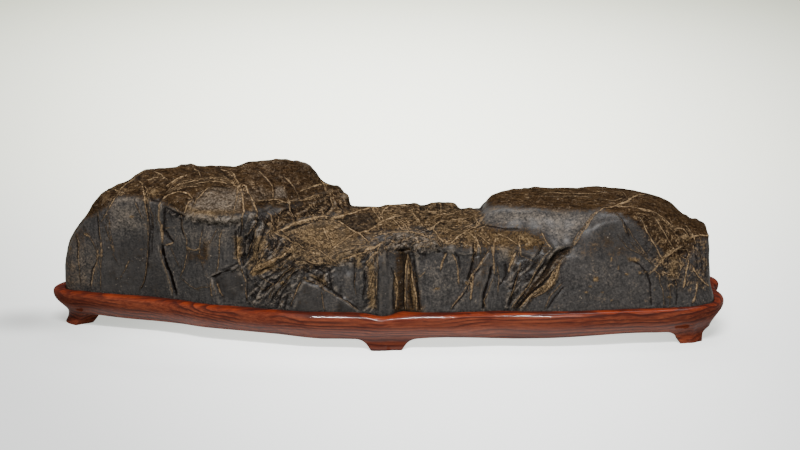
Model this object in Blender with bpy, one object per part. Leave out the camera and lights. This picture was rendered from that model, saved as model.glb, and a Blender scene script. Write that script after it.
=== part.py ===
"""Long viewing stone on a carved hardwood stand.

Two pieces, both in metres in the finished model and in millimetres while they are worked out:

* stone: one dark natural stone with a high block at the left, a low saddle in the middle and a
  flat-topped block at the right. It is a loft through sections across its length, carved by
  cracks, ledges, ribs and lumps that are drawn on two tilted drawing planes, front and back.
* stand: a tray cut from one block of wood. It has a recess that follows the foot of the stone,
  a rounded lip, a wall that draws in downwards and six small feet with flared toes.

X runs along the length, the front faces -Y, and the feet stand on Z = 0.
"""
import math

import bmesh
import bpy
import numpy as np
from mathutils import Vector, noise

MM = 0.001

# ---- driving dimensions, in millimetres --------------------------------------------------
STONE_LEFT = -247.0
STONE_RIGHT = 241.5
SPINE_Y = 22.0                 # both ends of the stone close on this line
LEFT_ROUNDING = (24.0, 3.6)    # length and squareness of the closing curve at each end
RIGHT_ROUNDING = (11.0, 5.0)
RIGHT_FLARE = 2.4              # the right end spreads this much at the rim
FLARE_HEIGHT = 13.0
FLARE_LENGTH = 12.0
RIM_Z = 28.5                   # where the stone meets the lip of the stand
RECESS_Z = 16.0                # floor of the recess in the stand
REST_GAP = 0.3                 # the stone stands this far above the recess floor
STONE_BOTTOM = RECESS_Z + REST_GAP
RECESS_GAP = 0.9               # free play between the recess wall and the foot of the stone
UNDERSIDE_Z = 10.0             # flat underside of the tray between the feet
STATIONS = 400                 # sections along the stone, and points around each
AROUND = 150
STONE_FACES = 6500             # triangles left on the stone
DRAWING_TILT = math.radians(13.0)
CREST_BLEND = 4.0              # half width of the strip where the front's relief gives way to the back's
BROAD_LUMPS = (30.0, 1.1)      # natural unevenness: size of its lumps and how far they rise
SMALL_LUMPS = (11.0, 0.6)
FOLD_SIZE = 9.0                # sharp folds that cross the broken ground at a slant
FOLD_SLANT = math.radians(48.0)
FOLD_STRETCH = 2.4
BACK_FOLDS = (27.0, 3.0)       # size and rise of the large folds on the back
BACK_FINE_RISE = 1.2

# ---- the stone's long lines: (x, y, z) -------------------------------------------------------
FOOT = [(-247, 3.5, RIM_Z), (-234, 3.5, RIM_Z), (-218, -2, RIM_Z), (-198, -8, RIM_Z), (-178, -13, RIM_Z),
        (-156, -22, RIM_Z), (-139, -32, RIM_Z), (-108, -41, RIM_Z), (-78, -49, RIM_Z), (-56, -55, RIM_Z),
        (-34, -56, RIM_Z), (-16, -58, RIM_Z), (-8, -59.5, RIM_Z), (-1, -57, RIM_Z), (4, -51.5, RIM_Z),
        (9, -55, RIM_Z), (23, -57, RIM_Z), (45, -56, RIM_Z), (60, -54, RIM_Z), (82, -52.5, RIM_Z),
        (103, -54, RIM_Z), (125, -54, RIM_Z), (155, -50.5, RIM_Z), (177, -46.5, RIM_Z),
        (199, -45, RIM_Z), (222, -41, RIM_Z), (236, -32, RIM_Z), (244, -20, RIM_Z)]
BROW = [(-247, 6, 44), (-241, 5, 62), (-228, 2, 81), (-207, -5, 97), (-191, -11, 102), (-178, -15, 103),
        (-165, -20, 99), (-144, -32, 93), (-122, -37, 94), (-100, -38, 95), (-91, -44, 79), (-78, -48, 63),
        (-63, -50, 63), (-42, -50, 64), (-27, -49, 69), (-16, -50, 71.5), (-8, -52, 72.5), (4, -45, 74),
        (12, -47, 75), (23, -49, 78.5), (45, -50, 76), (67, -47, 72), (89, -44, 71.5), (111, -42, 72.5),
        (129, -38, 73), (140, -36, 81), (155, -33, 90), (174, -31, 93), (193, -28, 90), (208, -24, 81),
        (225, -20, 74), (238, -16, 70), (244, -12, 66)]
SHELF = [(-247, 10, 45), (-241, 10, 63), (-228, 8, 82), (-208, 0, 99.5), (-179, -8, 105), (-144, -27, 98),
         (-122, -31, 99), (-100, -28, 98), (-91, -22, 93), (-64, -32, 76), (-42, -32, 73), (-17, -30, 77.5),
         (9, -30, 80), (38, -32, 82), (67, -32, 81), (97, -31, 83), (126, -29, 84), (144, -26, 89),
         (158, -24, 94), (175, -22, 96.5), (195, -18, 94), (214, -12, 85), (232, -8, 77), (244, -6, 68)]
UPPER = [(-247, 15, 46), (-241, 15, 64), (-228, 13, 84), (-210, 8, 101), (-180, 2, 108.5), (-146, -14, 109),
         (-124, -15, 111), (-95, -10, 111), (-80, -6, 102), (-65, -10, 87), (-43, -8, 84.5), (-17, -2, 87),
         (9, 0, 87), (39, 0, 87.5), (56, -6, 86), (68, -14, 91), (82, -18, 95.5), (97, -20, 97),
         (127, -20, 96.5), (156, -16, 97.5), (175, -12, 98), (195, -8, 96), (219, 0, 86), (244, 6, 68.5)]
CREST = [(-247, 22, 47), (-243, 22, 63), (-235, 22, 75), (-229, 21, 82), (-222, 20, 93), (-211, 20, 103),
         (-197, 22, 110), (-182, 24, 118), (-163, 24, 119), (-140, 26, 120), (-118, 28, 119),
         (-105, 28, 124.5), (-82, 28, 126.5), (-65, 30, 123), (-55, 32, 113), (-49, 32, 106),
         (-38, 32, 102.5), (-31.5, 30, 96), (-29.5, 30, 92), (-28, 30, 88), (-14, 30, 86.5), (7, 30, 90),
         (34, 30, 90), (49, 30, 90), (56, 30, 85), (70, 30, 84.5), (73, 31, 89), (78, 33, 94.5),
         (88, 36, 98.5), (109, 40, 100), (140, 42, 100), (173, 42, 100), (196, 40, 97), (215, 36, 91),
         (229, 30, 80), (239, 24, 73), (244, 22, 69)]
BACK_SHOULDER = [(-247, 26, 46), (-241, 27, 63), (-228, 30, 80), (-205, 36, 98), (-180, 42, 108),
                 (-140, 44, 111), (-100, 44, 113), (-75, 46, 112), (-55, 46, 100), (-36, 46, 88),
                 (-26, 45, 79), (-10, 42, 78), (30, 44, 82), (52, 46, 76), (70, 48, 74), (80, 50, 85),
                 (110, 52, 94), (160, 54, 94), (200, 52, 89), (225, 42, 79), (239, 34, 71), (244, 30, 67)]
BACK_BROW = [(-247, 29, 42), (-241, 32, 58), (-228, 38, 70), (-200, 47, 80), (-170, 53, 86), (-130, 54, 90),
             (-95, 56, 86), (-65, 58, 80), (-35, 57, 70), (0, 53, 62), (35, 54, 64), (60, 57, 68),
             (90, 58, 76), (130, 60, 78), (170, 60, 76), (205, 58, 72), (228, 50, 66), (244, 38, 60)]
BACK_FOOT = [(-247, 32, RIM_Z), (-235, 43, RIM_Z), (-215, 50, RIM_Z), (-190, 54, RIM_Z), (-150, 57, RIM_Z),
             (-110, 58, RIM_Z), (-70, 59, RIM_Z), (-30, 56, RIM_Z), (0, 53, RIM_Z), (30, 54, RIM_Z),
             (60, 57, RIM_Z), (110, 59, RIM_Z), (160, 59, RIM_Z), (205, 58.5, RIM_Z), (232, 56, RIM_Z),
             (244, 50, RIM_Z)]
LONG_LINES = [FOOT, BROW, SHELF, UPPER, CREST, BACK_SHOULDER, BACK_BROW, BACK_FOOT]


def smooth_curve(knots, values, at):
    """Smooth curve through the knots that never swings past them."""
    knots = np.asarray(knots, float)
    values = np.asarray(values, float)
    width = np.diff(knots)
    slope = np.diff(values) / width
    same_way = slope[:-1] * slope[1:] > 0
    before = np.where(same_way, slope[:-1], 1.0)
    after = np.where(same_way, slope[1:], 1.0)
    weight_a = 2 * width[1:] + width[:-1]
    weight_b = width[1:] + 2 * width[:-1]
    inner = (weight_a + weight_b) / (weight_a / before + weight_b / after)
    tangent = np.concatenate(([slope[0]], np.where(same_way, inner, 0.0), [slope[-1]]))
    span = np.clip(np.searchsorted(knots, at) - 1, 0, len(width) - 1)
    h = width[span]
    t = np.clip((at - knots[span]) / h, 0.0, 1.0)
    return ((1 + 2 * t) * (1 - t) ** 2 * values[span] + t * (1 - t) ** 2 * h * tangent[span]
            + t * t * (3 - 2 * t) * values[span + 1] + t * t * (t - 1) * h * tangent[span + 1])


def line_at(line, x):
    """Y and Z of a long line at the given x values."""
    knots = [point[0] for point in line]
    return (smooth_curve(knots, [point[1] for point in line], x),
            smooth_curve(knots, [point[2] for point in line], x))


def smooth_step(low, high, value):
    """0 below low, 1 above high, with a soft ramp between."""
    t = np.clip((value - low) / (high - low), 0.0, 1.0)
    return t * t * (3 - 2 * t)


def end_opening(x):
    """How far the section is open: 0 at the two ends of the stone, 1 along its middle."""
    left_length, left_power = LEFT_ROUNDING
    right_length, right_power = RIGHT_ROUNDING
    left = np.clip((x - STONE_LEFT) / left_length, 0.0, 1.0)
    right = np.clip((STONE_RIGHT - x) / right_length, 0.0, 1.0)
    return ((1 - (1 - left) ** left_power) ** (1 / left_power)
            * (1 - (1 - right) ** right_power) ** (1 / right_power))


def squeezed(y, x):
    """Y drawn in towards the closing line near the ends."""
    return SPINE_Y + (y - SPINE_Y) * end_opening(x)


def stations(count):
    """Places along X for the sections, evenly spaced along the front foot's outline."""
    across = (STONE_RIGHT - STONE_LEFT)
    turn = np.linspace(0.0, math.pi, 6001)
    x = STONE_LEFT + across * (1 - np.cos(turn)) / 2
    y = squeezed(line_at(FOOT, x)[0], x)
    run = np.concatenate(([0.0], np.cumsum(np.hypot(np.diff(x), np.diff(y)))))
    return np.interp(np.linspace(0.0, run[-1], count), run, x)


def even_section(points, count):
    """Points spaced evenly along a broken line, with its corners rounded off."""
    run = np.concatenate(([0.0], np.cumsum(np.hypot(np.diff(points[:, 0]), np.diff(points[:, 1])))))
    even = np.linspace(0.0, run[-1], count)
    section = np.stack([np.interp(even, run, points[:, 0]), np.interp(even, run, points[:, 1])], axis=1)
    return section


def rounded(section, passes):
    """Section with its corners softened by repeated averaging; its ends stay."""
    for _ in range(passes):
        section[1:-1] = section[1:-1] / 2 + (section[:-2] + section[2:]) / 4
    return section


def stone_sections(station_count, around):
    """Grid of the plain stone: one row of (x, y, z) for each station, from front foot to back foot."""
    x = stations(station_count)
    lines = [line_at(line, x) for line in LONG_LINES]
    rows = []
    for i, place in enumerate(x):
        corners = np.array([(squeezed(y[i], place), z[i]) for y, z in lines])
        section = rounded(even_section(corners, around), passes=int(around / 8))
        rows.append(np.column_stack([np.full(around, place), section]))
    return np.array(rows)


# ---- relief drawn on the front: a along the length, b up the tilted drawing plane --------------
# groove: (points, half width, depth)
FRONT_GROOVES = [
    ([(-213, 93), (-216, 80), (-217, 68), (-216, 58), (-219, 48), (-222, 38), (-226, 28)], 1.6, 1.3),
    ([(-189, 117), (-186, 104), (-183, 90), (-180, 78), (-179, 66), (-180, 54), (-184, 40), (-189, 24)],
     1.9, 2.4),
    ([(-161, 101), (-167, 96), (-168.5, 86), (-168, 76), (-166, 67)], 2.2, 3.2),
    ([(-170, 64), (-168, 56), (-165, 48), (-161, 37), (-158, 26), (-157, 16)], 1.9, 6.0),
    ([(-171, 63), (-162, 65)], 1.4, 3.0),
    ([(-150, 76), (-148, 60), (-150, 42)], 1.7, 1.2),
    ([(-139, 76), (-139, 60), (-136, 42)], 1.6, 1.2),
    ([(-125, 78), (-122, 62), (-124, 44)], 1.6, 1.0),
    ([(-107, 71), (-109, 62), (-108, 49)], 2.2, 3.0),
    ([(-104, 84), (-104, 72), (-100, 56), (-103, 40), (-102, 22)], 2.0, 2.2),
    ([(-86, 92), (-84, 84), (-88, 75)], 1.8, 1.8),
    ([(-71, 97), (-69, 88), (-71, 79)], 1.8, 1.8),
    ([(-102, 45), (-95, 55), (-91, 67), (-84, 71), (-74, 74), (-60, 79), (-45, 82), (-30, 85)], 2.6, 3.0),
    ([(-94, 26), (-88, 36), (-80, 44), (-70, 51), (-62, 58)], 2.2, 2.4),
    ([(-84, 22), (-80, 32), (-72, 41), (-63, 46), (-54, 45)], 2.0, 2.4),
    ([(-92, 52), (-80, 57), (-70, 65)], 1.8, 1.6),
    ([(-44, 47), (-46, 38), (-38, 30)], 1.8, 1.8),
    ([(-35, 50), (-36, 38), (-37, 28)], 1.7, 1.6),
    ([(-24, 52), (-24, 36), (-25, 22)], 1.7, 2.0),
    ([(-16, 52), (-17, 36), (-18, 16)], 1.6, 1.6),
    ([(-7, 56), (-8, 38), (-8, 12)], 1.8, 2.8),
    ([(4.5, 58), (5, 38), (5, 12)], 1.8, 3.0),
    ([(10, 62), (11, 42), (12, 12)], 1.7, 3.4),
    ([(15, 62), (15, 40), (16, 12)], 1.4, 2.4),
    ([(19, 58), (19, 38), (21, 12)], 1.7, 2.8),
    ([(16, 73), (26, 69), (35, 66), (40, 58)], 1.7, 1.6),
    ([(43, 62), (50, 57), (52, 46), (50, 28)], 1.6, 1.6),
    ([(58, 71), (65, 65), (68, 55), (62, 50)], 1.7, 1.7),
    ([(76, 55), (75, 38), (71, 16)], 1.8, 2.4),
    ([(97, 55), (94, 40), (88, 22)], 1.7, 2.2),
    ([(84, 48), (82, 32), (79, 15)], 1.6, 1.2),
    ([(66, 78), (82, 77.5), (100, 77)], 1.5, 1.0),
    ([(170, 68), (178, 60), (187, 52), (191, 40), (193, 16)], 2.0, 2.2),
    ([(222, 78), (227, 66), (230, 50), (232, 30)], 1.7, 1.6),
    ([(205, 83), (212, 72), (216, 60), (224, 46), (234, 34)], 1.5, 1.0),
]
# raised vein: (points, half width, height)
FRONT_VEINS = [
    ([(-211, 92), (-205, 99), (-197, 107), (-191, 113)], 1.3, 0.9),
    ([(-190, 116), (-187, 107), (-185, 96), (-182, 82)], 1.4, 0.9),
    ([(-147, 107), (-158, 102), (-168, 99), (-171.5, 90), (-171, 76), (-170, 66)], 1.8, 1.4),
    ([(-119, 120), (-114, 108), (-110, 98), (-108, 84)], 1.4, 0.9),
    ([(-110, 106), (-104, 100), (-98, 88)], 1.4, 0.9),
    ([(-40, 82), (-35, 81), (-25, 72), (-18, 67), (-13, 62)], 1.5, 1.0),
    ([(-44, 57), (-35, 64), (-25, 72), (-15, 74), (-5, 79), (4, 82)], 1.5, 1.0),
    ([(44, 62), (56, 72), (66, 78)], 1.4, 0.8),
    ([(131, 60), (140, 68), (148, 76), (157, 87), (163, 91), (175, 94), (192, 100)], 1.7, 1.2),
    ([(183, 89), (190, 72), (200, 53), (203, 44)], 1.3, 0.7),
    ([(191, 40), (200, 52), (214, 63)], 1.3, 0.7),
]
# ledge: (points, drop, reach); the ground falls away on the right hand of the line
FRONT_LEDGES = [
    ([(-157, 16), (-161, 37), (-168, 56), (-170, 70), (-169, 90), (-165, 99)], 3.2, 34),
    ([(-166, 93), (-156, 88), (-146, 84), (-131, 81), (-120, 80), (-110, 82), (-100, 85)], 4.6, 50),
    ([(-130, 39), (-120, 42.5), (-113, 45), (-109, 49)], 3.0, 30),
    ([(-98, 86), (-90, 89), (-84, 93), (-74, 92), (-66, 98), (-50, 101), (-40, 99)], 4.0, 24),
    ([(-44, 29), (-53, 34), (-62, 37), (-66, 26), (-70, 15)], 2.2, 14),
    ([(-19, 14), (-25, 21), (-31, 25), (-38, 27)], 2.0, 16),
    ([(-66, 50), (-50, 49.5), (-40, 51), (-28, 57), (-14, 62), (-4, 67)], 2.6, 20),
    ([(-2, 61), (8, 61.5), (20, 63)], 4.0, 26),
    ([(76, 63), (68, 50), (57, 33), (44, 13)], 1.6, 16),
    ([(96, 60), (90, 48), (86, 36)], 1.6, 14),
    ([(20, 64), (36, 60), (56, 56), (76, 60), (100, 57), (112, 52)], 1.6, 22),
]
# hollow: (outline, depth, width of its sloping side)
FRONT_HOLLOWS = [
    ([(-142, 87), (-141, 97), (-136, 104), (-128, 106), (-118, 104), (-113, 98), (-114, 88), (-128, 86)],
     1.6, 4),
    ([(-106, 97), (-105, 107), (-96, 109), (-92, 100), (-97, 94)], 1.0, 4),
    ([(140, 66), (131, 63), (123, 60), (116, 55), (111, 46), (106, 38), (99, 30), (93, 21), (88, 13),
      (95, 13), (101, 23), (108, 31), (115, 39), (121, 46), (127, 52), (133, 58), (141, 64)], 9.0, 6),
    ([(-86, 90), (-74, 90), (-72, 80), (-86, 77)], 2.0, 4),
    ([(-62, 96), (-44, 98), (-40, 88), (-60, 83)], 2.0, 4),
    ([(62, 67), (66, 62), (67, 55), (63, 53), (61, 60)], 1.6, 2.5),
    ([(8, 63), (18, 64), (20, 59), (8, 58)], 4.0, 3),
]
# lump: (a, b, half length, half height, rise)
FRONT_LUMPS = [
    (-203, 107, 9, 7, 1.6), (-214, 100, 7, 6, 1.2), (-175, 102, 6, 6, 1.2), (-194, 114, 6, 5, 1.6),
    (-2, 32, 6.5, 26, 3.0), (-30, 36, 6, 14, 1.6), (-116, 33, 9, 11, 1.4), (-33, 99, 4, 5, 2.2),
    (-46, 104, 8, 5, 1.6), (31, 62, 7, 6, 2.2), (46, 60, 5, 7, 1.4), (40, 92, 12, 5, 1.8),
    (20, 92, 5, 4, 1.4),
    (158, 50, 34, 30, 3.4), (205, 56, 14, 22, 1.2), (86, 57, 8, 6, 1.6), (34, 38, 14, 22, 1.6),
    (-78, 65, 9, 6, 1.8), (-90, 36, 6, 9, 1.4), (115, 33, 5, 5, 2.0), (66, 40, 5, 16, 1.0),
]
# crumpled ground: (outline, rise)
FRONT_ROUGH = [
    ([(-104, 20), (-98, 44), (-90, 68), (-66, 74), (-50, 60), (-38, 50), (-40, 30), (-62, 38), (-72, 16)],
     2.0),
    ([(-66, 96), (-50, 110), (-36, 108), (-26, 92), (-50, 84)], 1.6),
    ([(-36, 58), (-12, 62), (24, 76), (40, 64), (24, 40), (4, 62), (-20, 50)], 1.4),
    ([(12, 94), (54, 94), (50, 76), (24, 68)], 1.0),
]

# ---- relief of the back, drawn on the mirrored plane -------------------------------------------
BACK_GROOVES = [
    ([(-207, 86), (-199, 62), (-204, 34), (-199, 12)], 2.0, 2.4),
    ([(-172, 100), (-162, 80), (-159, 56), (-148, 34), (-146, 10)], 2.2, 5.5),
    ([(-122, 74), (-112, 56), (-117, 34)], 1.8, 1.8),
    ([(-82, 86), (-95, 60), (-104, 34), (-101, 10)], 2.2, 3.4),
    ([(-50, 72), (-63, 48), (-60, 30), (-71, 10)], 2.2, 3.2),
    ([(-29, 60), (-37, 34), (-34, 12)], 1.8, 1.8),
    ([(3, 68), (-6, 48), (-2, 28), (-9, 10)], 2.4, 4.2),
    ([(12, 60), (15, 36), (8, 12)], 1.8, 2.2),
    ([(56, 76), (69, 58), (85, 44), (98, 24), (105, 10)], 2.8, 5.5),
    ([(90, 72), (101, 54), (114, 40)], 1.8, 1.8),
    ([(153, 82), (142, 60), (151, 38), (146, 12)], 2.0, 3.0),
    ([(199, 76), (190, 56), (205, 34), (200, 10)], 2.0, 2.4),
    ([(168, 60), (180, 46), (196, 40)], 1.6, 1.6),
]
BACK_LEDGES = [
    ([(-84, 74), (-104, 80), (-130, 76), (-158, 84)], 4.0, 46),
    ([(-10, 54), (-30, 58), (-54, 52)], 3.2, 30),
    ([(150, 62), (126, 70), (100, 62), (82, 50)], 3.6, 34),
    ([(-146, 12), (-148, 34), (-159, 56), (-162, 78)], 3.2, 34),
    ([(104, 12), (98, 26), (84, 46), (66, 60)], 3.4, 30),
    ([(222, 60), (206, 68), (192, 60)], 2.6, 30),
    ([(-166, 50), (-180, 56), (-200, 48)], 2.6, 26),
]
BACK_HOLLOWS = [
    ([(-142, 62), (-118, 68), (-112, 44), (-134, 36)], 2.2, 7),
    ([(-90, 50), (-72, 56), (-66, 30), (-86, 24)], 1.8, 7),
    ([(152, 52), (174, 56), (180, 30), (156, 26)], 2.0, 7),
]
BACK_LUMPS = [
    (-182, 34, 14, 18, 3.0), (-126, 24, 14, 10, 2.4), (-74, 74, 14, 9, 2.6), (-20, 32, 10, 16, 2.4),
    (30, 40, 14, 18, 3.0), (118, 40, 14, 18, 3.0), (206, 50, 12, 14, 2.0), (54, 26, 9, 12, 2.2),
    (-222, 44, 12, 18, 2.4), (-98, 92, 16, 10, 2.0), (130, 88, 22, 8, 1.8),
]


def line_distance(a, b, points):
    """Distance to a broken line, the side (positive on its left hand) and the share of its run."""
    points = np.asarray(points, float)
    lengths = np.hypot(*np.diff(points, axis=0).T)
    total = lengths.sum()
    nearest = np.full(a.shape, 1e9)
    side = np.zeros(a.shape)
    share = np.zeros(a.shape)
    done = 0.0
    for (a0, b0), (a1, b1), length in zip(points[:-1], points[1:], lengths):
        da, db = (a1 - a0) / length, (b1 - b0) / length
        along = np.clip((a - a0) * da + (b - b0) * db, 0.0, length)
        gap = np.hypot(a - a0 - along * da, b - b0 - along * db)
        closer = gap < nearest
        nearest = np.where(closer, gap, nearest)
        side = np.where(closer, np.sign(da * (b - b0) - db * (a - a0)), side)
        share = np.where(closer, (done + along) / total, share)
        done += length
    return nearest, side, share


def inside_depth(a, b, outline):
    """Distance inward from a closed outline, 0 outside it."""
    closed = list(outline) + [outline[0]]
    gap = line_distance(a, b, closed)[0]
    inside = np.zeros(a.shape, bool)
    for (a0, b0), (a1, b1) in zip(closed[:-1], closed[1:]):
        if b0 != b1:
            crosses = (b0 > b) != (b1 > b)
            inside ^= crosses & (a < a0 + (b - b0) / (b1 - b0) * (a1 - a0))
    return np.where(inside, gap, 0.0)


def tapered(share, end=0.12):
    """1 along a line, falling to 0 at its two ends."""
    return smooth_step(0.0, end, share) * smooth_step(0.0, end, 1.0 - share)


def relief(a, b, grooves, veins, ledges, hollows, lumps):
    """How far the surface is pushed out (positive) or in, in millimetres."""
    push = np.zeros(a.shape)
    for points, drop, reach in ledges:
        gap, side, share = line_distance(a, b, points)
        signed = -gap * side
        fading = 1 - smooth_step(0.2 * reach, reach, gap)
        push -= drop * smooth_step(-1.0, 1.6, signed) * fading * tapered(share)
    for outline, depth, slope in hollows:
        push -= depth * smooth_step(0.0, slope, inside_depth(a, b, outline))
    for lump_a, lump_b, length, height, rise in lumps:
        away = ((a - lump_a) / length) ** 2 + ((b - lump_b) / height) ** 2
        push += rise * np.clip(1 - away, 0.0, 1.0) ** 1.5
    for points, width, depth in grooves:
        gap, _, share = line_distance(a, b, points)
        push -= depth * np.exp(-(gap / width) ** 2) * tapered(share, 0.06)
    for points, width, height in veins:
        gap, _, share = line_distance(a, b, points)
        push += height * np.exp(-(gap / width) ** 2) * tapered(share)
    return push


def lumpy(points, size, seed):
    """Smooth noise between -1 and 1 at each point, with lumps of the given size."""
    shift = Vector((seed * 17.3, seed * 5.1, seed * 9.7))
    return np.array([noise.noise(Vector(point) / size + shift) for point in points])


def folded(points, size, seed):
    """Ridged noise between 0 and 1, drawn out along the slanting folds of the stone."""
    turned = np.column_stack([
        (points[:, 0] * math.cos(FOLD_SLANT) + points[:, 2] * math.sin(FOLD_SLANT)) / FOLD_STRETCH,
        points[:, 1],
        points[:, 2] * math.cos(FOLD_SLANT) - points[:, 0] * math.sin(FOLD_SLANT)])
    return 1 - 2 * np.abs(lumpy(turned, size, seed))


def stone_grid(station_count, around):
    """Carved grid of the stone, from front foot to back foot at each station."""
    grid = stone_sections(station_count, around)
    normal = np.cross(np.gradient(grid, axis=0), np.gradient(grid, axis=1))
    normal /= np.linalg.norm(normal, axis=2, keepdims=True) + 1e-9
    points = grid.reshape(-1, 3)
    x, y, z = points.T
    crest_y = squeezed(line_at(CREST, x)[0], x)
    front = 1 - smooth_step(-CREST_BLEND, CREST_BLEND, y - crest_y)
    back = 1 - front
    tilt_up, tilt_back = math.cos(DRAWING_TILT), math.sin(DRAWING_TILT)
    front_b = z * tilt_up + y * tilt_back
    back_b = z * tilt_up - y * tilt_back
    push = front * relief(x, front_b, FRONT_GROOVES, FRONT_VEINS, FRONT_LEDGES, FRONT_HOLLOWS, FRONT_LUMPS)
    push += back * relief(x, back_b, BACK_GROOVES, [], BACK_LEDGES, BACK_HOLLOWS, BACK_LUMPS)
    for seed, (size, rise) in enumerate([BROAD_LUMPS, SMALL_LUMPS], start=1):
        push += rise * lumpy(points, size, seed)
    folds = folded(points, FOLD_SIZE, seed=3)
    for outline, rise in FRONT_ROUGH:
        push += front * rise * (folds - 0.4) * smooth_step(0.0, 6.0, inside_depth(x, front_b, outline))
    size, rise = BACK_FOLDS
    push += back * rise * (folded(points, size, seed=4) - 0.5) * smooth_step(RIM_Z, RIM_Z + 18.0, z)
    push += back * BACK_FINE_RISE * (folds - 0.5) * smooth_step(30.0, 60.0, z)
    push = push.reshape(grid.shape[:2])
    ends = np.minimum(np.arange(station_count), np.arange(station_count)[::-1])
    push *= smooth_step(0.0, 3.0, ends)[:, None]
    carved = grid + push[..., None] * normal
    carved[:, (0, -1), 2] = RIM_Z
    carved[:, 1:-1, 2] = np.maximum(carved[:, 1:-1, 2], RIM_Z + 0.2)
    low = 1 - smooth_step(0.0, FLARE_HEIGHT, carved[..., 2] - RIM_Z)
    near_end = smooth_step(STONE_RIGHT - FLARE_LENGTH, STONE_RIGHT, carved[..., 0])
    carved[..., 0] += RIGHT_FLARE * low * near_end
    return carved


def new_object(name, mesh, collection, material):
    """Object with its mesh and material, in the collection."""
    mesh.materials.append(material)
    piece = bpy.data.objects.new(name, mesh)
    collection.objects.link(piece)
    return piece


def closed_mesh(name, vertices, faces):
    """Mesh from millimetre points, with doubled points merged and its faces turned outward."""
    cage = bmesh.new()
    made = [cage.verts.new(Vector(vertex) * MM) for vertex in vertices]
    for face in faces:
        cage.faces.new([made[i] for i in face])
    bmesh.ops.remove_doubles(cage, verts=cage.verts, dist=0.002 * MM)
    bmesh.ops.dissolve_degenerate(cage, dist=0.0005 * MM, edges=cage.edges)
    bmesh.ops.recalc_face_normals(cage, faces=cage.faces)
    bmesh.ops.triangulate(cage, faces=cage.faces)
    mesh = bpy.data.meshes.new(name)
    cage.to_mesh(mesh)
    cage.free()
    return mesh


def build_stone(carved, collection, material):
    """The stone: the carved grid, its straight foot inside the recess and its flat bottom."""
    count, around = carved.shape[:2]
    bottom = carved[:, (0, -1), :].copy()
    bottom[..., 2] = STONE_BOTTOM
    rows = np.concatenate([bottom[:, :1], carved, bottom[:, 1:]], axis=1)
    wide = around + 2
    faces = []
    for i in range(count - 1):
        here, there = i * wide, (i + 1) * wide
        for j in range(wide):
            after = (j + 1) % wide
            faces.append((here + j, there + j, there + after, here + after))
    mesh = closed_mesh("stone", rows.reshape(-1, 3), faces)
    stone = new_object("stone", mesh, collection, material)
    thin = stone.modifiers.new("few_faces", "DECIMATE")
    thin.ratio = STONE_FACES / len(mesh.polygons)
    return stone


# ---- the stand: its outer outline seen from above, then its sections and feet ------------------
RIM_OUTLINE = [(-257.5, 22), (-255, 11), (-248, 2.5), (-237, -3.5), (-216, -9.5), (-196, -15.5), (-176, -21),
               (-154, -30), (-136, -39.5), (-106, -48.5), (-77, -57), (-56, -62), (-34, -63.5), (-18, -65),
               (-7, -66), (4, -64.5), (18, -64), (45, -63.5), (64, -61.5), (82, -60), (103, -61), (125, -61),
               (155, -57.5), (178, -53.5), (200, -51.5), (222, -47), (238, -38), (247, -26), (252, -12),
               (253, 2), (250.5, 12), (250, 18), (252, 25), (256, 32), (257.5, 42), (255, 53), (245, 62),
               (228, 65), (205, 66), (160, 66), (110, 66), (60, 64.5), (30, 61.5), (0, 60.5), (-30, 63),
               (-70, 66), (-110, 65.5), (-150, 64.5), (-190, 61.5), (-215, 57.5), (-235, 50.5), (-247, 41.5),
               (-254.5, 32)]
STAND_SPINE = [(-212, 24), (212, 10)]   # the stand's inner lines are drawn towards this middle line
FEET = [(-251, 6, 13), (-1, -65, 11.5), (229, -44, 10.5), (214, 66, 11), (22, 61, 11), (-172, 63, 11)]
FOOT_FILLET = 12.5
FOOT_STEPS = (0.0, 1.5, 4.0, 7.5, 12.5)   # places along the fillet beside a foot
FOOT_DEPTH = 15.0
FOOT_HEEL = 4.0                  # slope behind the foot
TOE_FLARE = 3.2
RIM_SAMPLES_EVERY = 17.0
END_SAMPLES_EVERY = 7.0          # closer where the outline turns round the two ends
END_REGION = 236.0
# the lip from the stone outward: (share of its width, z)
LIP = [(0.0, 27.6), (0.08, 28.3), (0.5, 28.1), (0.86, 27.0), (0.97, 25.8)]
RIM_EDGE_Z = 24.4
WALL_TAPER = 8.0                 # how far the wall draws in by the underside
END_TAPER = 3.0                  # and how much more at the two ends, past END_TAPER_FROM
END_TAPER_FROM = (190.0, 245.0)
WALL_DEPTH = 17.0
THINNEST_WALL = 1.6              # wood left beside the recess floor
TOE_HEIGHT = 6.0
WALL_SHARES = (0.2, 0.42, 0.68, 0.9, 1.0)


def closed_curve(points, per_span):
    """Smooth closed curve through the points (Catmull-Rom)."""
    points = np.asarray(points, float)
    t = np.linspace(0.0, 1.0, per_span, endpoint=False)[:, None]
    spans = []
    for before, start, end, after in zip(np.roll(points, 1, 0), points, np.roll(points, -1, 0),
                                         np.roll(points, -2, 0)):
        square = 2 * before - 5 * start + 4 * end - after
        cube = 3 * start - before - 3 * end + after
        spans.append(0.5 * (2 * start + (end - before) * t + square * t ** 2 + cube * t ** 3))
    return np.concatenate(spans)


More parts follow.
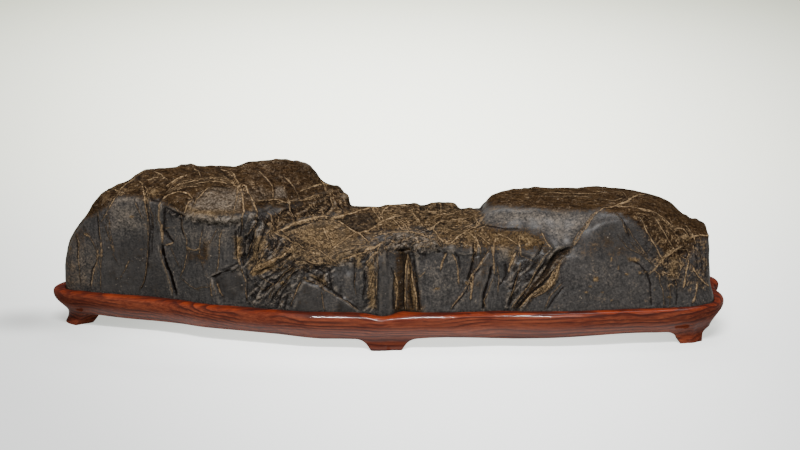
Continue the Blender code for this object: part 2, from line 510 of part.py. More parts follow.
def rim_places():
    """Points on the stand's outer outline and how much each belongs to a foot: (points, footness)."""
    curve = closed_curve(RIM_OUTLINE, 40)
    ring = np.vstack([curve, curve[:1]])
    run = np.concatenate(([0.0], np.cumsum(np.hypot(*np.diff(ring, axis=0).T))))
    total = run[-1]
    places = set()
    feet = []
    for foot_x, foot_y, half in FEET:
        middle = run[np.argmin(np.hypot(curve[:, 0] - foot_x, curve[:, 1] - foot_y))]
        feet.append((middle, half))
        places.update([middle % total])
        for step in FOOT_STEPS:
            places.update([(middle - half - step) % total, (middle + half + step) % total])
    places = sorted(places)
    filled = []
    for here, there in zip(places, places[1:] + [places[0] + total]):
        nearby = curve[np.argmin(np.abs(run[:-1] - (here + there) / 2 % total))]
        spacing = END_SAMPLES_EVERY if abs(nearby[0]) > END_REGION else RIM_SAMPLES_EVERY
        spans = max(1, round((there - here) / spacing))
        filled += [here + (there - here) * k / spans for k in range(spans)]
    filled = np.array(filled) % total
    points = np.stack([np.interp(filled, run, ring[:, 0]), np.interp(filled, run, ring[:, 1])], axis=1)
    footness = np.zeros(len(filled))
    for middle, half in feet:
        away = np.abs((filled - middle + total / 2) % total - total / 2)
        beside = np.clip((away - half) / FOOT_FILLET, 0.0, 1.0)
        footness = np.maximum(footness, (1 - beside) ** 2.6)
    footness[footness > 0.999] = 1.0
    return points, footness


def recess_distance(points, inward, outline):
    """Distance from each point, along its inward direction, to the foot outline of the stone."""
    ends = np.roll(outline, -1, axis=0)
    distances = []
    for point, way in zip(points, inward):
        across = np.array([-way[1], way[0]])
        start_side = (outline - point) @ across
        end_side = (ends - point) @ across
        crossing = start_side * end_side < 0
        share = start_side[crossing] / (start_side[crossing] - end_side[crossing])
        hit = outline[crossing] + share[:, None] * (ends[crossing] - outline[crossing])
        ahead = (hit - point) @ way
        distances.append(ahead[ahead > 0].min())
    return np.array(distances)


def lip_widths(points, inward, outline):
    """Width of the lip at each rim point, the narrowest found up to half way to its neighbours."""
    widths = recess_distance(points, inward, outline)
    narrowest = widths.copy()
    for turn in (-1, 1):
        for share in (0.25, 0.5):
            between = points + share * (np.roll(points, turn, axis=0) - points)
            ways = inward + share * (np.roll(inward, turn, axis=0) - inward)
            ways /= np.linalg.norm(ways, axis=1, keepdims=True)
            narrowest = np.minimum(narrowest, recess_distance(between, ways, outline))
    return narrowest - RECESS_GAP


def build_stand(carved, collection, material):
    """The stand: closed rings from the recess floor over the lip and down the wall to the feet."""
    stone_foot = np.vstack([carved[:, 0, :2], carved[::-1, -1, :2]])
    points, footness = rim_places()
    (left_x, left_y), (right_x, right_y) = STAND_SPINE
    spine_x = np.clip(points[:, 0], left_x, right_x)
    spine = np.column_stack([spine_x, np.interp(spine_x, (left_x, right_x), (left_y, right_y))])
    inward = spine - points
    inward /= np.linalg.norm(inward, axis=1, keepdims=True)
    widths = lip_widths(points, inward, stone_foot)
    low_z = UNDERSIDE_Z * (1 - footness)
    at_ends = smooth_step(*END_TAPER_FROM, np.abs(points[:, 0]))
    widest_taper = (widths - THINNEST_WALL) / smooth_step(0.0, WALL_DEPTH, RIM_EDGE_Z - RECESS_Z) ** 1.25
    taper = np.minimum(WALL_TAPER + END_TAPER * at_ends, widest_taper)

    def ring(inset, z):
        moved = points + inward * np.asarray(inset)[:, None]
        return np.column_stack([moved, np.broadcast_to(z, len(points))])

    def wall_inset(z):
        drawn_in = taper * smooth_step(0.0, WALL_DEPTH, RIM_EDGE_Z - z) ** 1.25
        flare = TOE_FLARE * np.clip((TOE_HEIGHT - z) / TOE_HEIGHT, 0.0, 1.0) ** 1.5
        return drawn_in - flare

    rings = [ring(widths, RECESS_Z)]
    rings += [ring(widths * (1 - share), z) for share, z in LIP]
    rings.append(ring(np.zeros(len(points)), RIM_EDGE_Z))
    for share in WALL_SHARES:
        z = RIM_EDGE_Z + (low_z - RIM_EDGE_Z) * share
        rings.append(ring(wall_inset(z), z))
    toe = wall_inset(low_z)
    rings.append(ring(toe + FOOT_DEPTH, low_z))
    rings.append(ring(toe + FOOT_DEPTH + FOOT_HEEL, UNDERSIDE_Z))
    wide = len(points)
    faces = [tuple(range(wide))]
    for level in range(len(rings) - 1):
        for i in range(wide):
            after = (i + 1) % wide
            faces.append((level * wide + i, level * wide + after, (level + 1) * wide + after,
                          (level + 1) * wide + i))
    faces.append(tuple((len(rings) - 1) * wide + i for i in reversed(range(wide))))
    mesh = closed_mesh("stand", np.vstack(rings), faces)
    return new_object("stand", mesh, collection, material)


def plain_material(name, colour, roughness):
    """Principled material with a colour and a roughness."""
    material = bpy.data.materials.new(name)
    material.use_nodes = True
    shader = material.node_tree.nodes["Principled BSDF"]
    shader.inputs["Base Color"].default_value = (*colour, 1.0)
    shader.inputs["Roughness"].default_value = roughness
    shader.inputs["Metallic"].default_value = 0.0
    return material


def main():
    """Clear the scene, then build the stone and its stand."""
    for old in list(bpy.data.objects):
        bpy.data.objects.remove(old, do_unlink=True)
    collection = bpy.data.collections.new("viewing_stone")
    bpy.context.scene.collection.children.link(collection)
    carved = stone_grid(STATIONS, AROUND)
    build_stone(carved, collection, plain_material("dark_stone", (0.045, 0.038, 0.030), 0.45))
    build_stand(carved, collection, plain_material("red_hardwood", (0.22, 0.045, 0.015), 0.30))


main()
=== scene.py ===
"""Dressed model of a long viewing stone resting in its carved hardwood stand.

The stone is a loft through sections across its length, carved by cracks, ledges, ribs and lumps that
are drawn on two tilted drawing planes, one for the front and one for the back. The stand is a set of
closed rings that follow the foot of the stone, with a rounded lip, a tapering wall and six feet.
Both are worked out in millimetres and made in metres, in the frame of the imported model.
"""
import logging
import math
from dataclasses import dataclass, field
from enum import Enum
import bmesh
import bpy
import numpy as np
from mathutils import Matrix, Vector, noise


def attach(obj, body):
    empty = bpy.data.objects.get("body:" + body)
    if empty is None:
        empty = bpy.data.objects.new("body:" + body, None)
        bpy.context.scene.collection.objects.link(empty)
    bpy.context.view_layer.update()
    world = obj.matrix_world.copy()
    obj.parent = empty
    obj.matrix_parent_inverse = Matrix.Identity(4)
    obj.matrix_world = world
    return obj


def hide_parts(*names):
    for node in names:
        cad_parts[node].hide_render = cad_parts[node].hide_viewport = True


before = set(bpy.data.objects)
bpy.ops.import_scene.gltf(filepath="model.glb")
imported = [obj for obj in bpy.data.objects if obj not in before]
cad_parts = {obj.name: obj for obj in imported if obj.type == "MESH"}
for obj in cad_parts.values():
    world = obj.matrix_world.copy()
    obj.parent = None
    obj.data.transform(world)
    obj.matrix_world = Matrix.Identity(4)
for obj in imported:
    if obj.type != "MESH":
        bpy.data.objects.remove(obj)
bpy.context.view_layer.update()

MM = 0.001
TINY = 1e-9
FAR = 1e9
SAME_POINT = 0.002    # points closer than this are merged
LOG = logging.getLogger("viewing_stone")
BODY = "root"
RIM_Z = 28.5          # height at which the stone meets the lip of the stand
RECESS_Z = 16.0       # floor of the recess
STONE_BOTTOM = 16.3
UNDERSIDE_Z = 10.0    # underside of the tray between the feet
STONE_LEFT = -247.0
STONE_RIGHT = 241.5

Array = np.ndarray
Pair = tuple[float, float]
Colour = tuple[float, float, float]
Points = list[Pair]
Piece = bpy.types.Object


def at_rim(places: Points) -> list:
    """The places at the height where the stone meets the lip."""
    return [(x, y, RIM_Z) for x, y in places]


def sized(usual: Pair, lines: list) -> list:
    """The lines, with the usual sizes for those that name none."""
    return [line if isinstance(line, tuple) else (*usual, *line) for line in lines]


# ---- the stone's long lines: (x, y, z)
FOOT = at_rim([
    (-247, 3.5), (-234, 3.5), (-218, -2), (-198, -8), (-178, -13), (-156, -22), (-139, -32), (-108, -41),
    (-78, -49), (-56, -55), (-34, -56), (-16, -58), (-8, -59.5), (1, -58), (11, -52), (17, -55), (27, -57),
    (45, -56), (60, -54), (82, -52.5), (103, -54), (125, -54), (155, -50.5), (177, -46.5), (199, -45),
    (222, -41), (236, -32), (244, -20),
])
BROW = [
    (-247, 6, 44), (-241, 5, 62), (-228, 2, 81), (-207, -5, 97), (-191, -11, 102), (-178, -15, 103),
    (-165, -20, 99), (-144, -32, 93), (-122, -37, 94), (-100, -38, 95), (-91, -44, 79), (-78, -48, 63),
    (-63, -50, 63), (-42, -50, 64), (-27, -49, 69), (-16, -50, 71.5), (-8, -52, 72.5), (9, -45, 74),
    (16, -47, 75.5), (25, -49, 78.5), (45, -50, 76), (67, -47, 72), (89, -44, 71.5), (111, -42, 72.5),
    (129, -38, 73), (140, -36, 81), (155, -33, 90), (174, -31, 93), (193, -28, 90), (208, -24, 81),
    (225, -20, 74), (238, -16, 70), (244, -12, 66),
]
SHELF = [
    (-247, 10, 45), (-241, 10, 63), (-228, 8, 82), (-208, 0, 99.5), (-179, -8, 105), (-144, -27, 98),
    (-122, -31, 99), (-100, -28, 98), (-91, -22, 93), (-64, -32, 76), (-42, -32, 73), (-17, -30, 77.5),
    (9, -30, 80), (38, -32, 82), (67, -32, 81), (97, -31, 83), (126, -29, 84), (144, -26, 89),
    (158, -24, 94), (175, -22, 96.5), (195, -18, 94), (214, -12, 85), (232, -8, 77), (244, -6, 71),
]
UPPER = [
    (-247, 15, 48), (-241, 15, 67), (-228, 13, 86), (-210, 8, 102), (-180, 2, 108.5), (-146, -14, 109),
    (-124, -15, 111), (-95, -10, 111), (-80, -6, 102), (-65, -10, 87), (-43, -8, 84.5), (-17, -2, 87),
    (9, 0, 87), (39, 0, 87.5), (56, -6, 86), (68, -14, 91), (82, -18, 95.5), (97, -20, 97),
    (127, -20, 96.5), (156, -16, 97.5), (175, -12, 98), (195, -8, 96), (219, 0, 86), (238, 4, 77),
    (244, 6, 74),
]
CREST = [
    (-247, 22, 49), (-243, 22, 66), (-235, 22, 77.5), (-229, 21, 84.5), (-222, 20, 95.5), (-211, 20, 104),
    (-197, 22, 110), (-182, 24, 118.5), (-163, 24, 121.5), (-140, 26, 122), (-118, 28, 121.5),
    (-105, 28, 126), (-82, 28, 128), (-65, 30, 124), (-55, 32, 115), (-49, 32, 108), (-38, 32, 104),
    (-31.5, 30, 97), (-29.5, 30, 93.5), (-28, 30, 90.5), (-14, 30, 89), (7, 30, 90.6), (34, 30, 90.8),
    (49, 30, 92), (56, 30, 87), (70, 30, 86.8), (73, 31, 91), (78, 33, 95.5), (88, 36, 99.3),
    (109, 40, 101), (140, 42, 101), (173, 42, 101.8), (196, 40, 97.4), (215, 36, 93), (229, 30, 81),
    (239, 24, 77.5), (244, 22, 76),
]
BACK_SHOULDER = [
    (-247, 26, 46), (-241, 27, 63), (-228, 30, 80), (-205, 36, 98), (-180, 42, 108), (-140, 44, 111),
    (-100, 44, 113), (-75, 46, 112), (-55, 46, 100), (-36, 46, 88), (-26, 45, 79), (-10, 42, 78),
    (30, 44, 82), (52, 46, 76), (70, 48, 74), (80, 50, 85), (110, 52, 94), (160, 54, 94), (200, 52, 89),
    (225, 42, 79), (239, 34, 74), (244, 30, 72),
]
BACK_BROW = [
    (-247, 29, 42), (-241, 32, 58), (-228, 38, 70), (-200, 47, 80), (-170, 53, 86), (-130, 54, 90),
    (-95, 56, 86), (-65, 58, 80), (-35, 57, 70), (0, 53, 62), (35, 54, 64), (60, 57, 68), (90, 58, 76),
    (130, 60, 78), (170, 60, 76), (205, 58, 72), (228, 50, 66), (244, 38, 60),
]
BACK_FOOT = at_rim([
    (-247, 32), (-235, 43), (-215, 50), (-190, 54), (-150, 57), (-110, 58), (-70, 59), (-30, 56), (0, 53),
    (30, 54), (60, 57), (110, 59), (160, 59), (205, 58.5), (232, 56), (244, 50),
])
LONG_LINES = [FOOT, BROW, SHELF, UPPER, CREST, BACK_SHOULDER, BACK_BROW, BACK_FOOT]

# ---- relief of the front: a along the length, b up the tilted drawing plane
# groove: (half width, depth, points)
FRONT_GROOVES = sized((0.9, 0.8), [
    (0.8, 0.9, (-184, 111), (-179, 98), (-177, 85), (-176, 74), (-178, 61), (-179, 49), (-182, 37),
     (-186, 28)),
    (0.75, 2.4, (-168.5, 64), (-167.5, 57), (-165, 49), (-162, 41), (-160, 34), (-158, 24)),
    (0.8, 1.2, (-166, 73), (-163, 67), (-160, 64)),
    (0.9, 0.9, (-164, 92), (-166, 84), (-167, 75), (-166, 69)),
    (1.2, 0.5, (-173, 87), (-174, 77), (-175, 65), (-176, 56)),
    [(-154, 84), (-154, 75), (-152, 69)],
    (0.9, 1.4, (-130, 39), (-123, 42), (-115, 45)),
    (0.9, 0.5, (-217, 86), (-217, 72), (-217, 65)),
    (0.9, 0.5, (-236, 72), (-234, 60), (-235, 51)),
    (0.9, 0.6, (-220, 50), (-224, 43), (-226, 31)),
    [(-190, 116), (-187, 111), (-184, 107)],
    (0.9, 0.7, (-175, 107), (-177, 102), (-174, 96), (-169, 95), (-166, 100)),
    (0.9, 0.7, (-157, 120), (-148, 119), (-143, 120), (-135, 118)),
    (0.9, 0.6, (-130, 121), (-123, 118), (-119, 113)),
    (0.9, 0.9, (-132, 106), (-126, 107), (-120, 106), (-116, 105)),
    (0.9, 1.0, (-106, 83), (-107, 73), (-108, 68)),
    (0.9, 1.1, (-93, 85), (-95, 78), (-99, 67), (-101, 58), (-104, 52)),
    (0.9, 1.1, (-88, 83), (-90, 74), (-92, 66), (-94, 58)),
    (0.9, 0.9, (-97, 77), (-100, 71), (-102, 63)),
    [(-83, 83), (-82, 77), (-83, 73)],
    (0.9, 1.0, (-111, 74), (-111, 63), (-111, 53)),
    [(-103, 71), (-105, 58), (-106, 48)],
    (1.0, 1.2, (-71, 91), (-68, 83), (-68, 80)),
    (1.0, 1.0, (-81, 85), (-76, 89), (-72, 90)),
    (1.0, 1.0, (-63, 84), (-62, 87), (-54, 92), (-47, 96)),
    (1.0, 1.2, (-58, 85), (-54, 89), (-50, 92)),
    (1.0, 1.2, (-48, 86), (-44, 92), (-42, 96)),
    (1.0, 1.0, (-38, 97), (-37, 92), (-32, 90)),
    (0.9, 0.9, (-54, 84), (-52, 87), (-49, 86)),
    (0.9, 1.0, (-80, 71), (-68, 76), (-59, 80), (-49, 82), (-36, 83), (-29, 84)),
    (0.9, 1.0, (-36, 83), (-30, 78), (-25, 75), (-19, 71), (-15, 67)),
    [(-16, 89), (-11, 83), (-8, 78)],
    (0.9, 0.7, (-35, 53), (-26, 56), (-18, 58)),
    (0.9, 1.1, (-57, 41), (-47, 35), (-36, 27), (-28, 22), (-20, 16)),
    [(-85, 63), (-87, 58), (-89, 52)],
    (0.9, 1.0, (-80, 69), (-81, 63), (-84, 58)),
    (0.9, 1.0, (-77, 70), (-73, 68), (-69, 65)),
    (1.0, 1.1, (-97, 41), (-90, 46), (-83, 48), (-76, 53), (-69, 58)),
    (0.9, 0.9, (-88, 46), (-81, 43), (-72, 48), (-66, 53)),
    (0.9, 0.9, (-92, 38), (-85, 41), (-78, 46)),
    (0.9, 1.0, (-86, 38), (-81, 38), (-76, 42), (-67, 50)),
    (0.9, 1.0, (-92, 28), (-86, 33), (-80, 37), (-72, 44), (-63, 49)),
    (0.9, 0.9, (-86, 21), (-82, 27), (-77, 33), (-72, 40), (-65, 45)),
    (0.9, 0.9, (-81, 17), (-79, 23), (-76, 30), (-71, 36)),
    [(-75, 17), (-74, 23), (-72, 29)],
    [(-63, 46), (-56, 43), (-50, 41)],
    [(-67, 53), (-60, 52), (-52, 48), (-42, 47)],
    (0.9, 0.7, (-57, 47), (-50, 46), (-45, 42)),
    [(-42, 46), (-42, 39), (-40, 31), (-36, 27)],
    (1.0, 0.9, (-24, 53), (-24, 44), (-24, 36)),
    [(-30, 56), (-29, 52), (-24, 51)],
    (1.0, 1.0, (-17, 46), (-16, 36), (-18, 26)),
    (0.9, 0.7, (-8, 46), (-9, 36), (-8, 25), (-9, 15)),
    (0.9, 0.7, (-123, 44), (-115, 47), (-109, 50)),
    (0.9, 0.7, (-103, 46), (-103, 33), (-104, 22)),
    (0.9, 0.7, (-100, 27), (-96, 23), (-92, 24)),
    (0.9, 0.6, (-6, 50), (-7, 34), (-7, 15)),
    [(3, 48), (5, 40), (4, 28), (5, 16)],
    (0.9, 0.9, (10, 59), (12, 45), (11, 33), (12, 16)),
    (0.9, 1.0, (14, 58), (17, 44), (16, 30), (18, 16)),
    (1.0, 1.3, (18, 54), (21, 38), (23, 15)),
    (0.9, 0.9, (-2, 63), (3, 66), (7, 63)),
    [(20, 62), (23, 57), (28, 56)],
    (0.9, 0.7, (40, 78), (49, 74), (56, 73)),
    [(35, 63), (37, 58), (38, 60)],
    (0.9, 1.3, (63, 66), (63, 54), (61, 45), (58, 37)),
    (0.9, 0.7, (48, 59), (52, 54), (53, 45)),
    (0.9, 1.0, (68, 48), (62, 40), (57, 30), (49, 20), (46, 15)),
    (0.9, 1.6, (76, 49), (74, 40), (70, 28), (69, 16)),
    (0.9, 0.9, (86, 50), (86, 40), (81, 34)),
    (0.9, 1.5, (95, 45), (91, 31), (88, 18)),
    (0.9, 1.1, (117, 54), (107, 41), (99, 29), (91, 16)),
    (0.9, 1.2, (123, 47), (112, 35), (101, 26), (93, 16)),
    (1.0, 0.9, (126, 61), (120, 55), (115, 48)),
    (0.9, 0.6, (67, 78), (75, 77), (86, 75), (97, 75)),
    (0.9, 0.7, (113, 65), (111, 59), (107, 54)),
    (0.9, 0.6, (25, 92), (24, 88), (26, 86)),
    [(35, 81), (40, 79), (45, 78)],
    [(59, 82), (62, 80), (67, 78)],
    (1.1, 1.2, (133, 62), (124, 58), (118, 49), (113, 42)),
    (1.1, 0.9, (178, 52), (184, 49), (189, 43), (192, 35), (192, 28), (193, 18)),
    (0.9, 0.5, (167, 87), (173, 80), (176, 69)),
    (0.9, 0.6, (227, 66), (228, 55), (229, 46)),
    (0.9, 0.6, (231, 67), (232, 53), (233, 41)),
    (0.9, 0.6, (236, 67), (236, 51), (236, 39)),
    (0.9, 0.9, (216, 57), (219, 60), (222, 58), (221, 54), (217, 54)),
    (0.9, 0.2, (211, 39), (212, 28), (211, 19)),
    (0.9, 0.6, (128, 33), (121, 25), (116, 17)),
])
# ledge: (drop, reach, points); the ground falls away on the right hand of the line
FRONT_LEDGES = [
    (1.0, 22, (-157, 16), (-161, 37), (-166, 56), (-168, 70), (-167, 90), (-163, 99)),
    (2.6, 50, (-166, 93), (-156, 88), (-146, 84), (-131, 81), (-120, 80), (-110, 82), (-100, 85)),
    (2.2, 30, (-130, 39), (-120, 42.5), (-113, 45), (-109, 49)),
    (0.9, 16, (-98, 86), (-90, 89), (-84, 93), (-74, 92), (-66, 98), (-50, 101), (-40, 99)),
    (1.5, 14, (-44, 29), (-53, 34), (-62, 37), (-66, 26), (-70, 15)),
    (2.0, 16, (-19, 14), (-25, 21), (-31, 25), (-38, 27)),
    (2.6, 20, (-66, 50), (-50, 49.5), (-40, 51), (-28, 57), (-14, 62), (-4, 67)),
    (2.4, 20, (-2, 61), (8, 61.5), (20, 63)),
    (1.6, 16, (76, 63), (68, 50), (57, 33), (44, 13)),
    (1.6, 14, (96, 60), (90, 48), (86, 36)),
    (1.6, 22, (20, 64), (36, 60), (56, 56), (76, 60), (100, 57), (112, 52)),
    (1.0, 9, (-180, 119), (-177, 112), (-170, 108), (-163, 112)),
    (1.0, 9, (-78, 116), (-71, 105), (-68, 98)),
]
# hollow: (depth, width of its sloping side, outline)
FRONT_HOLLOWS = [
    (1.2, 9, (-148, 86), (-147, 97), (-138, 104), (-124, 105), (-112, 104), (-108, 97), (-110, 87),
     (-128, 85)),
    (1.0, 3, (-106, 97), (-105, 107), (-96, 109), (-92, 100), (-97, 94)),
    (2.0, 6, (140, 66), (131, 63), (123, 60), (116, 55), (111, 46), (106, 38), (99, 30), (93, 21),
     (88, 13), (95, 13), (101, 23), (108, 31), (115, 39), (121, 46), (127, 52), (133, 58), (141, 64)),
    (1.6, 5, (137, 64), (128, 62), (120, 57), (115, 50), (119, 49), (126, 54), (134, 60)),
    (1.0, 4, (-86, 90), (-74, 90), (-72, 80), (-86, 77)),
    (0.9, 4, (-62, 96), (-44, 98), (-40, 88), (-60, 83)),
    (1.6, 2, (62, 67), (66, 62), (67, 55), (63, 53), (61, 60)),
    (2.2, 1.2, (6, 61), (11, 63), (16, 63), (16, 60), (11, 59), (7, 59)),
    (0.5, 1.5, (-36, 81), (-31, 86), (-13, 88), (-7, 78), (-20, 72), (-24, 73)),
    (1.4, 2.5, (212, 62), (219, 63), (222, 57), (217, 52), (212, 56)),
]
# lump: (a, b, half length, half height, rise)
FRONT_LUMPS = [
    (-203, 107, 9, 7, 1.6), (-214, 100, 7, 6, 1.2), (-175, 102, 6, 6, 1.4), (-194, 114, 6, 5, 1.6),
    (-2, 34, 9, 26, 0.8), (-30, 36, 6, 14, 1.6), (-116, 33, 9, 11, 1.4), (-33, 99, 4, 5, 2.2),
    (-46, 104, 8, 5, 1.6), (31, 62, 7, 6, 2.2), (46, 60, 5, 7, 1.4), (40, 92, 12, 5, 1.8),
    (20, 92, 5, 4, 1.4), (158, 46, 38, 36, 1.5), (205, 56, 14, 22, 1.2), (86, 57, 8, 6, 1.6),
    (34, 38, 14, 22, 1.6), (-78, 65, 9, 6, 1.8), (-90, 36, 6, 9, 1.4), (115, 33, 5, 5, 2.0),
    (66, 40, 5, 16, 1.0), (-148, 83, 3, 3, 2.0), (-142, 81, 2.6, 2.4, 1.8), (-136, 82, 3, 3, 2.2),
    (-129, 80, 3, 2.6, 2.0), (-124, 82, 2.6, 3, 2.2), (-118, 80, 3, 2.6, 2.0), (-112, 82, 2.6, 3, 1.8),
    (-154, 84, 2.4, 2.4, 1.6), (-103, 64, 3, 14, 1.2), (-93, 66, 3, 12, 1.2), (-144, 64, 4, 16, 1.0),
    (-131, 62, 4, 16, 1.0), (-119, 62, 4, 14, 1.0), (-33, 55, 4, 4, 1.8), (-27, 50, 3, 5, 1.4),
    (-20, 54, 3, 6, 1.6), (-12, 56, 3, 7, 2.0), (8, 70, 9, 4, 1.4), (20, 68, 7, 4, 1.2),
    (-54, 40, 5, 4, 1.4), (-46, 40, 4, 4, 1.4), (220, 69, 4, 3, 1.6), (14, 38, 1.8, 20, 0.6),
    (7.5, 30, 2.0, 16, 0.5), (57.5, 36, 2.4, 2.4, 1.1), (24, 91, 4, 3, 1.0), (33, 92, 5, 3, 1.2),
]
# broken ground: (rise, outline)
FRONT_ROUGH = [
    (1.6, (-104, 20), (-98, 44), (-90, 68), (-66, 74), (-50, 60), (-38, 50), (-40, 30), (-62, 38),
     (-72, 16)),
    (0.9, (-92, 78), (-76, 90), (-62, 95), (-48, 102), (-36, 105), (-28, 97), (-28, 90), (-65, 82),
     (-84, 70)),
    (1.8, (-36, 58), (-12, 62), (24, 76), (40, 64), (24, 52), (4, 62), (-20, 50)),
    (1.4, (12, 94), (54, 94), (50, 76), (24, 68)),
    (1.4, (-112, 72), (-98, 88), (-84, 84), (-92, 50), (-110, 44)),
    (1.5, (-168, 92), (-150, 86), (-125, 84), (-104, 84), (-104, 76), (-140, 78), (-162, 82)),
    (1.2, (-20, 54), (-8, 54), (-8, 14), (-18, 14)),
    (1.4, (90, 50), (124, 62), (134, 60), (100, 16), (84, 16)),
    (1.3, (200, 54), (216, 52), (212, 36), (204, 38)),
]

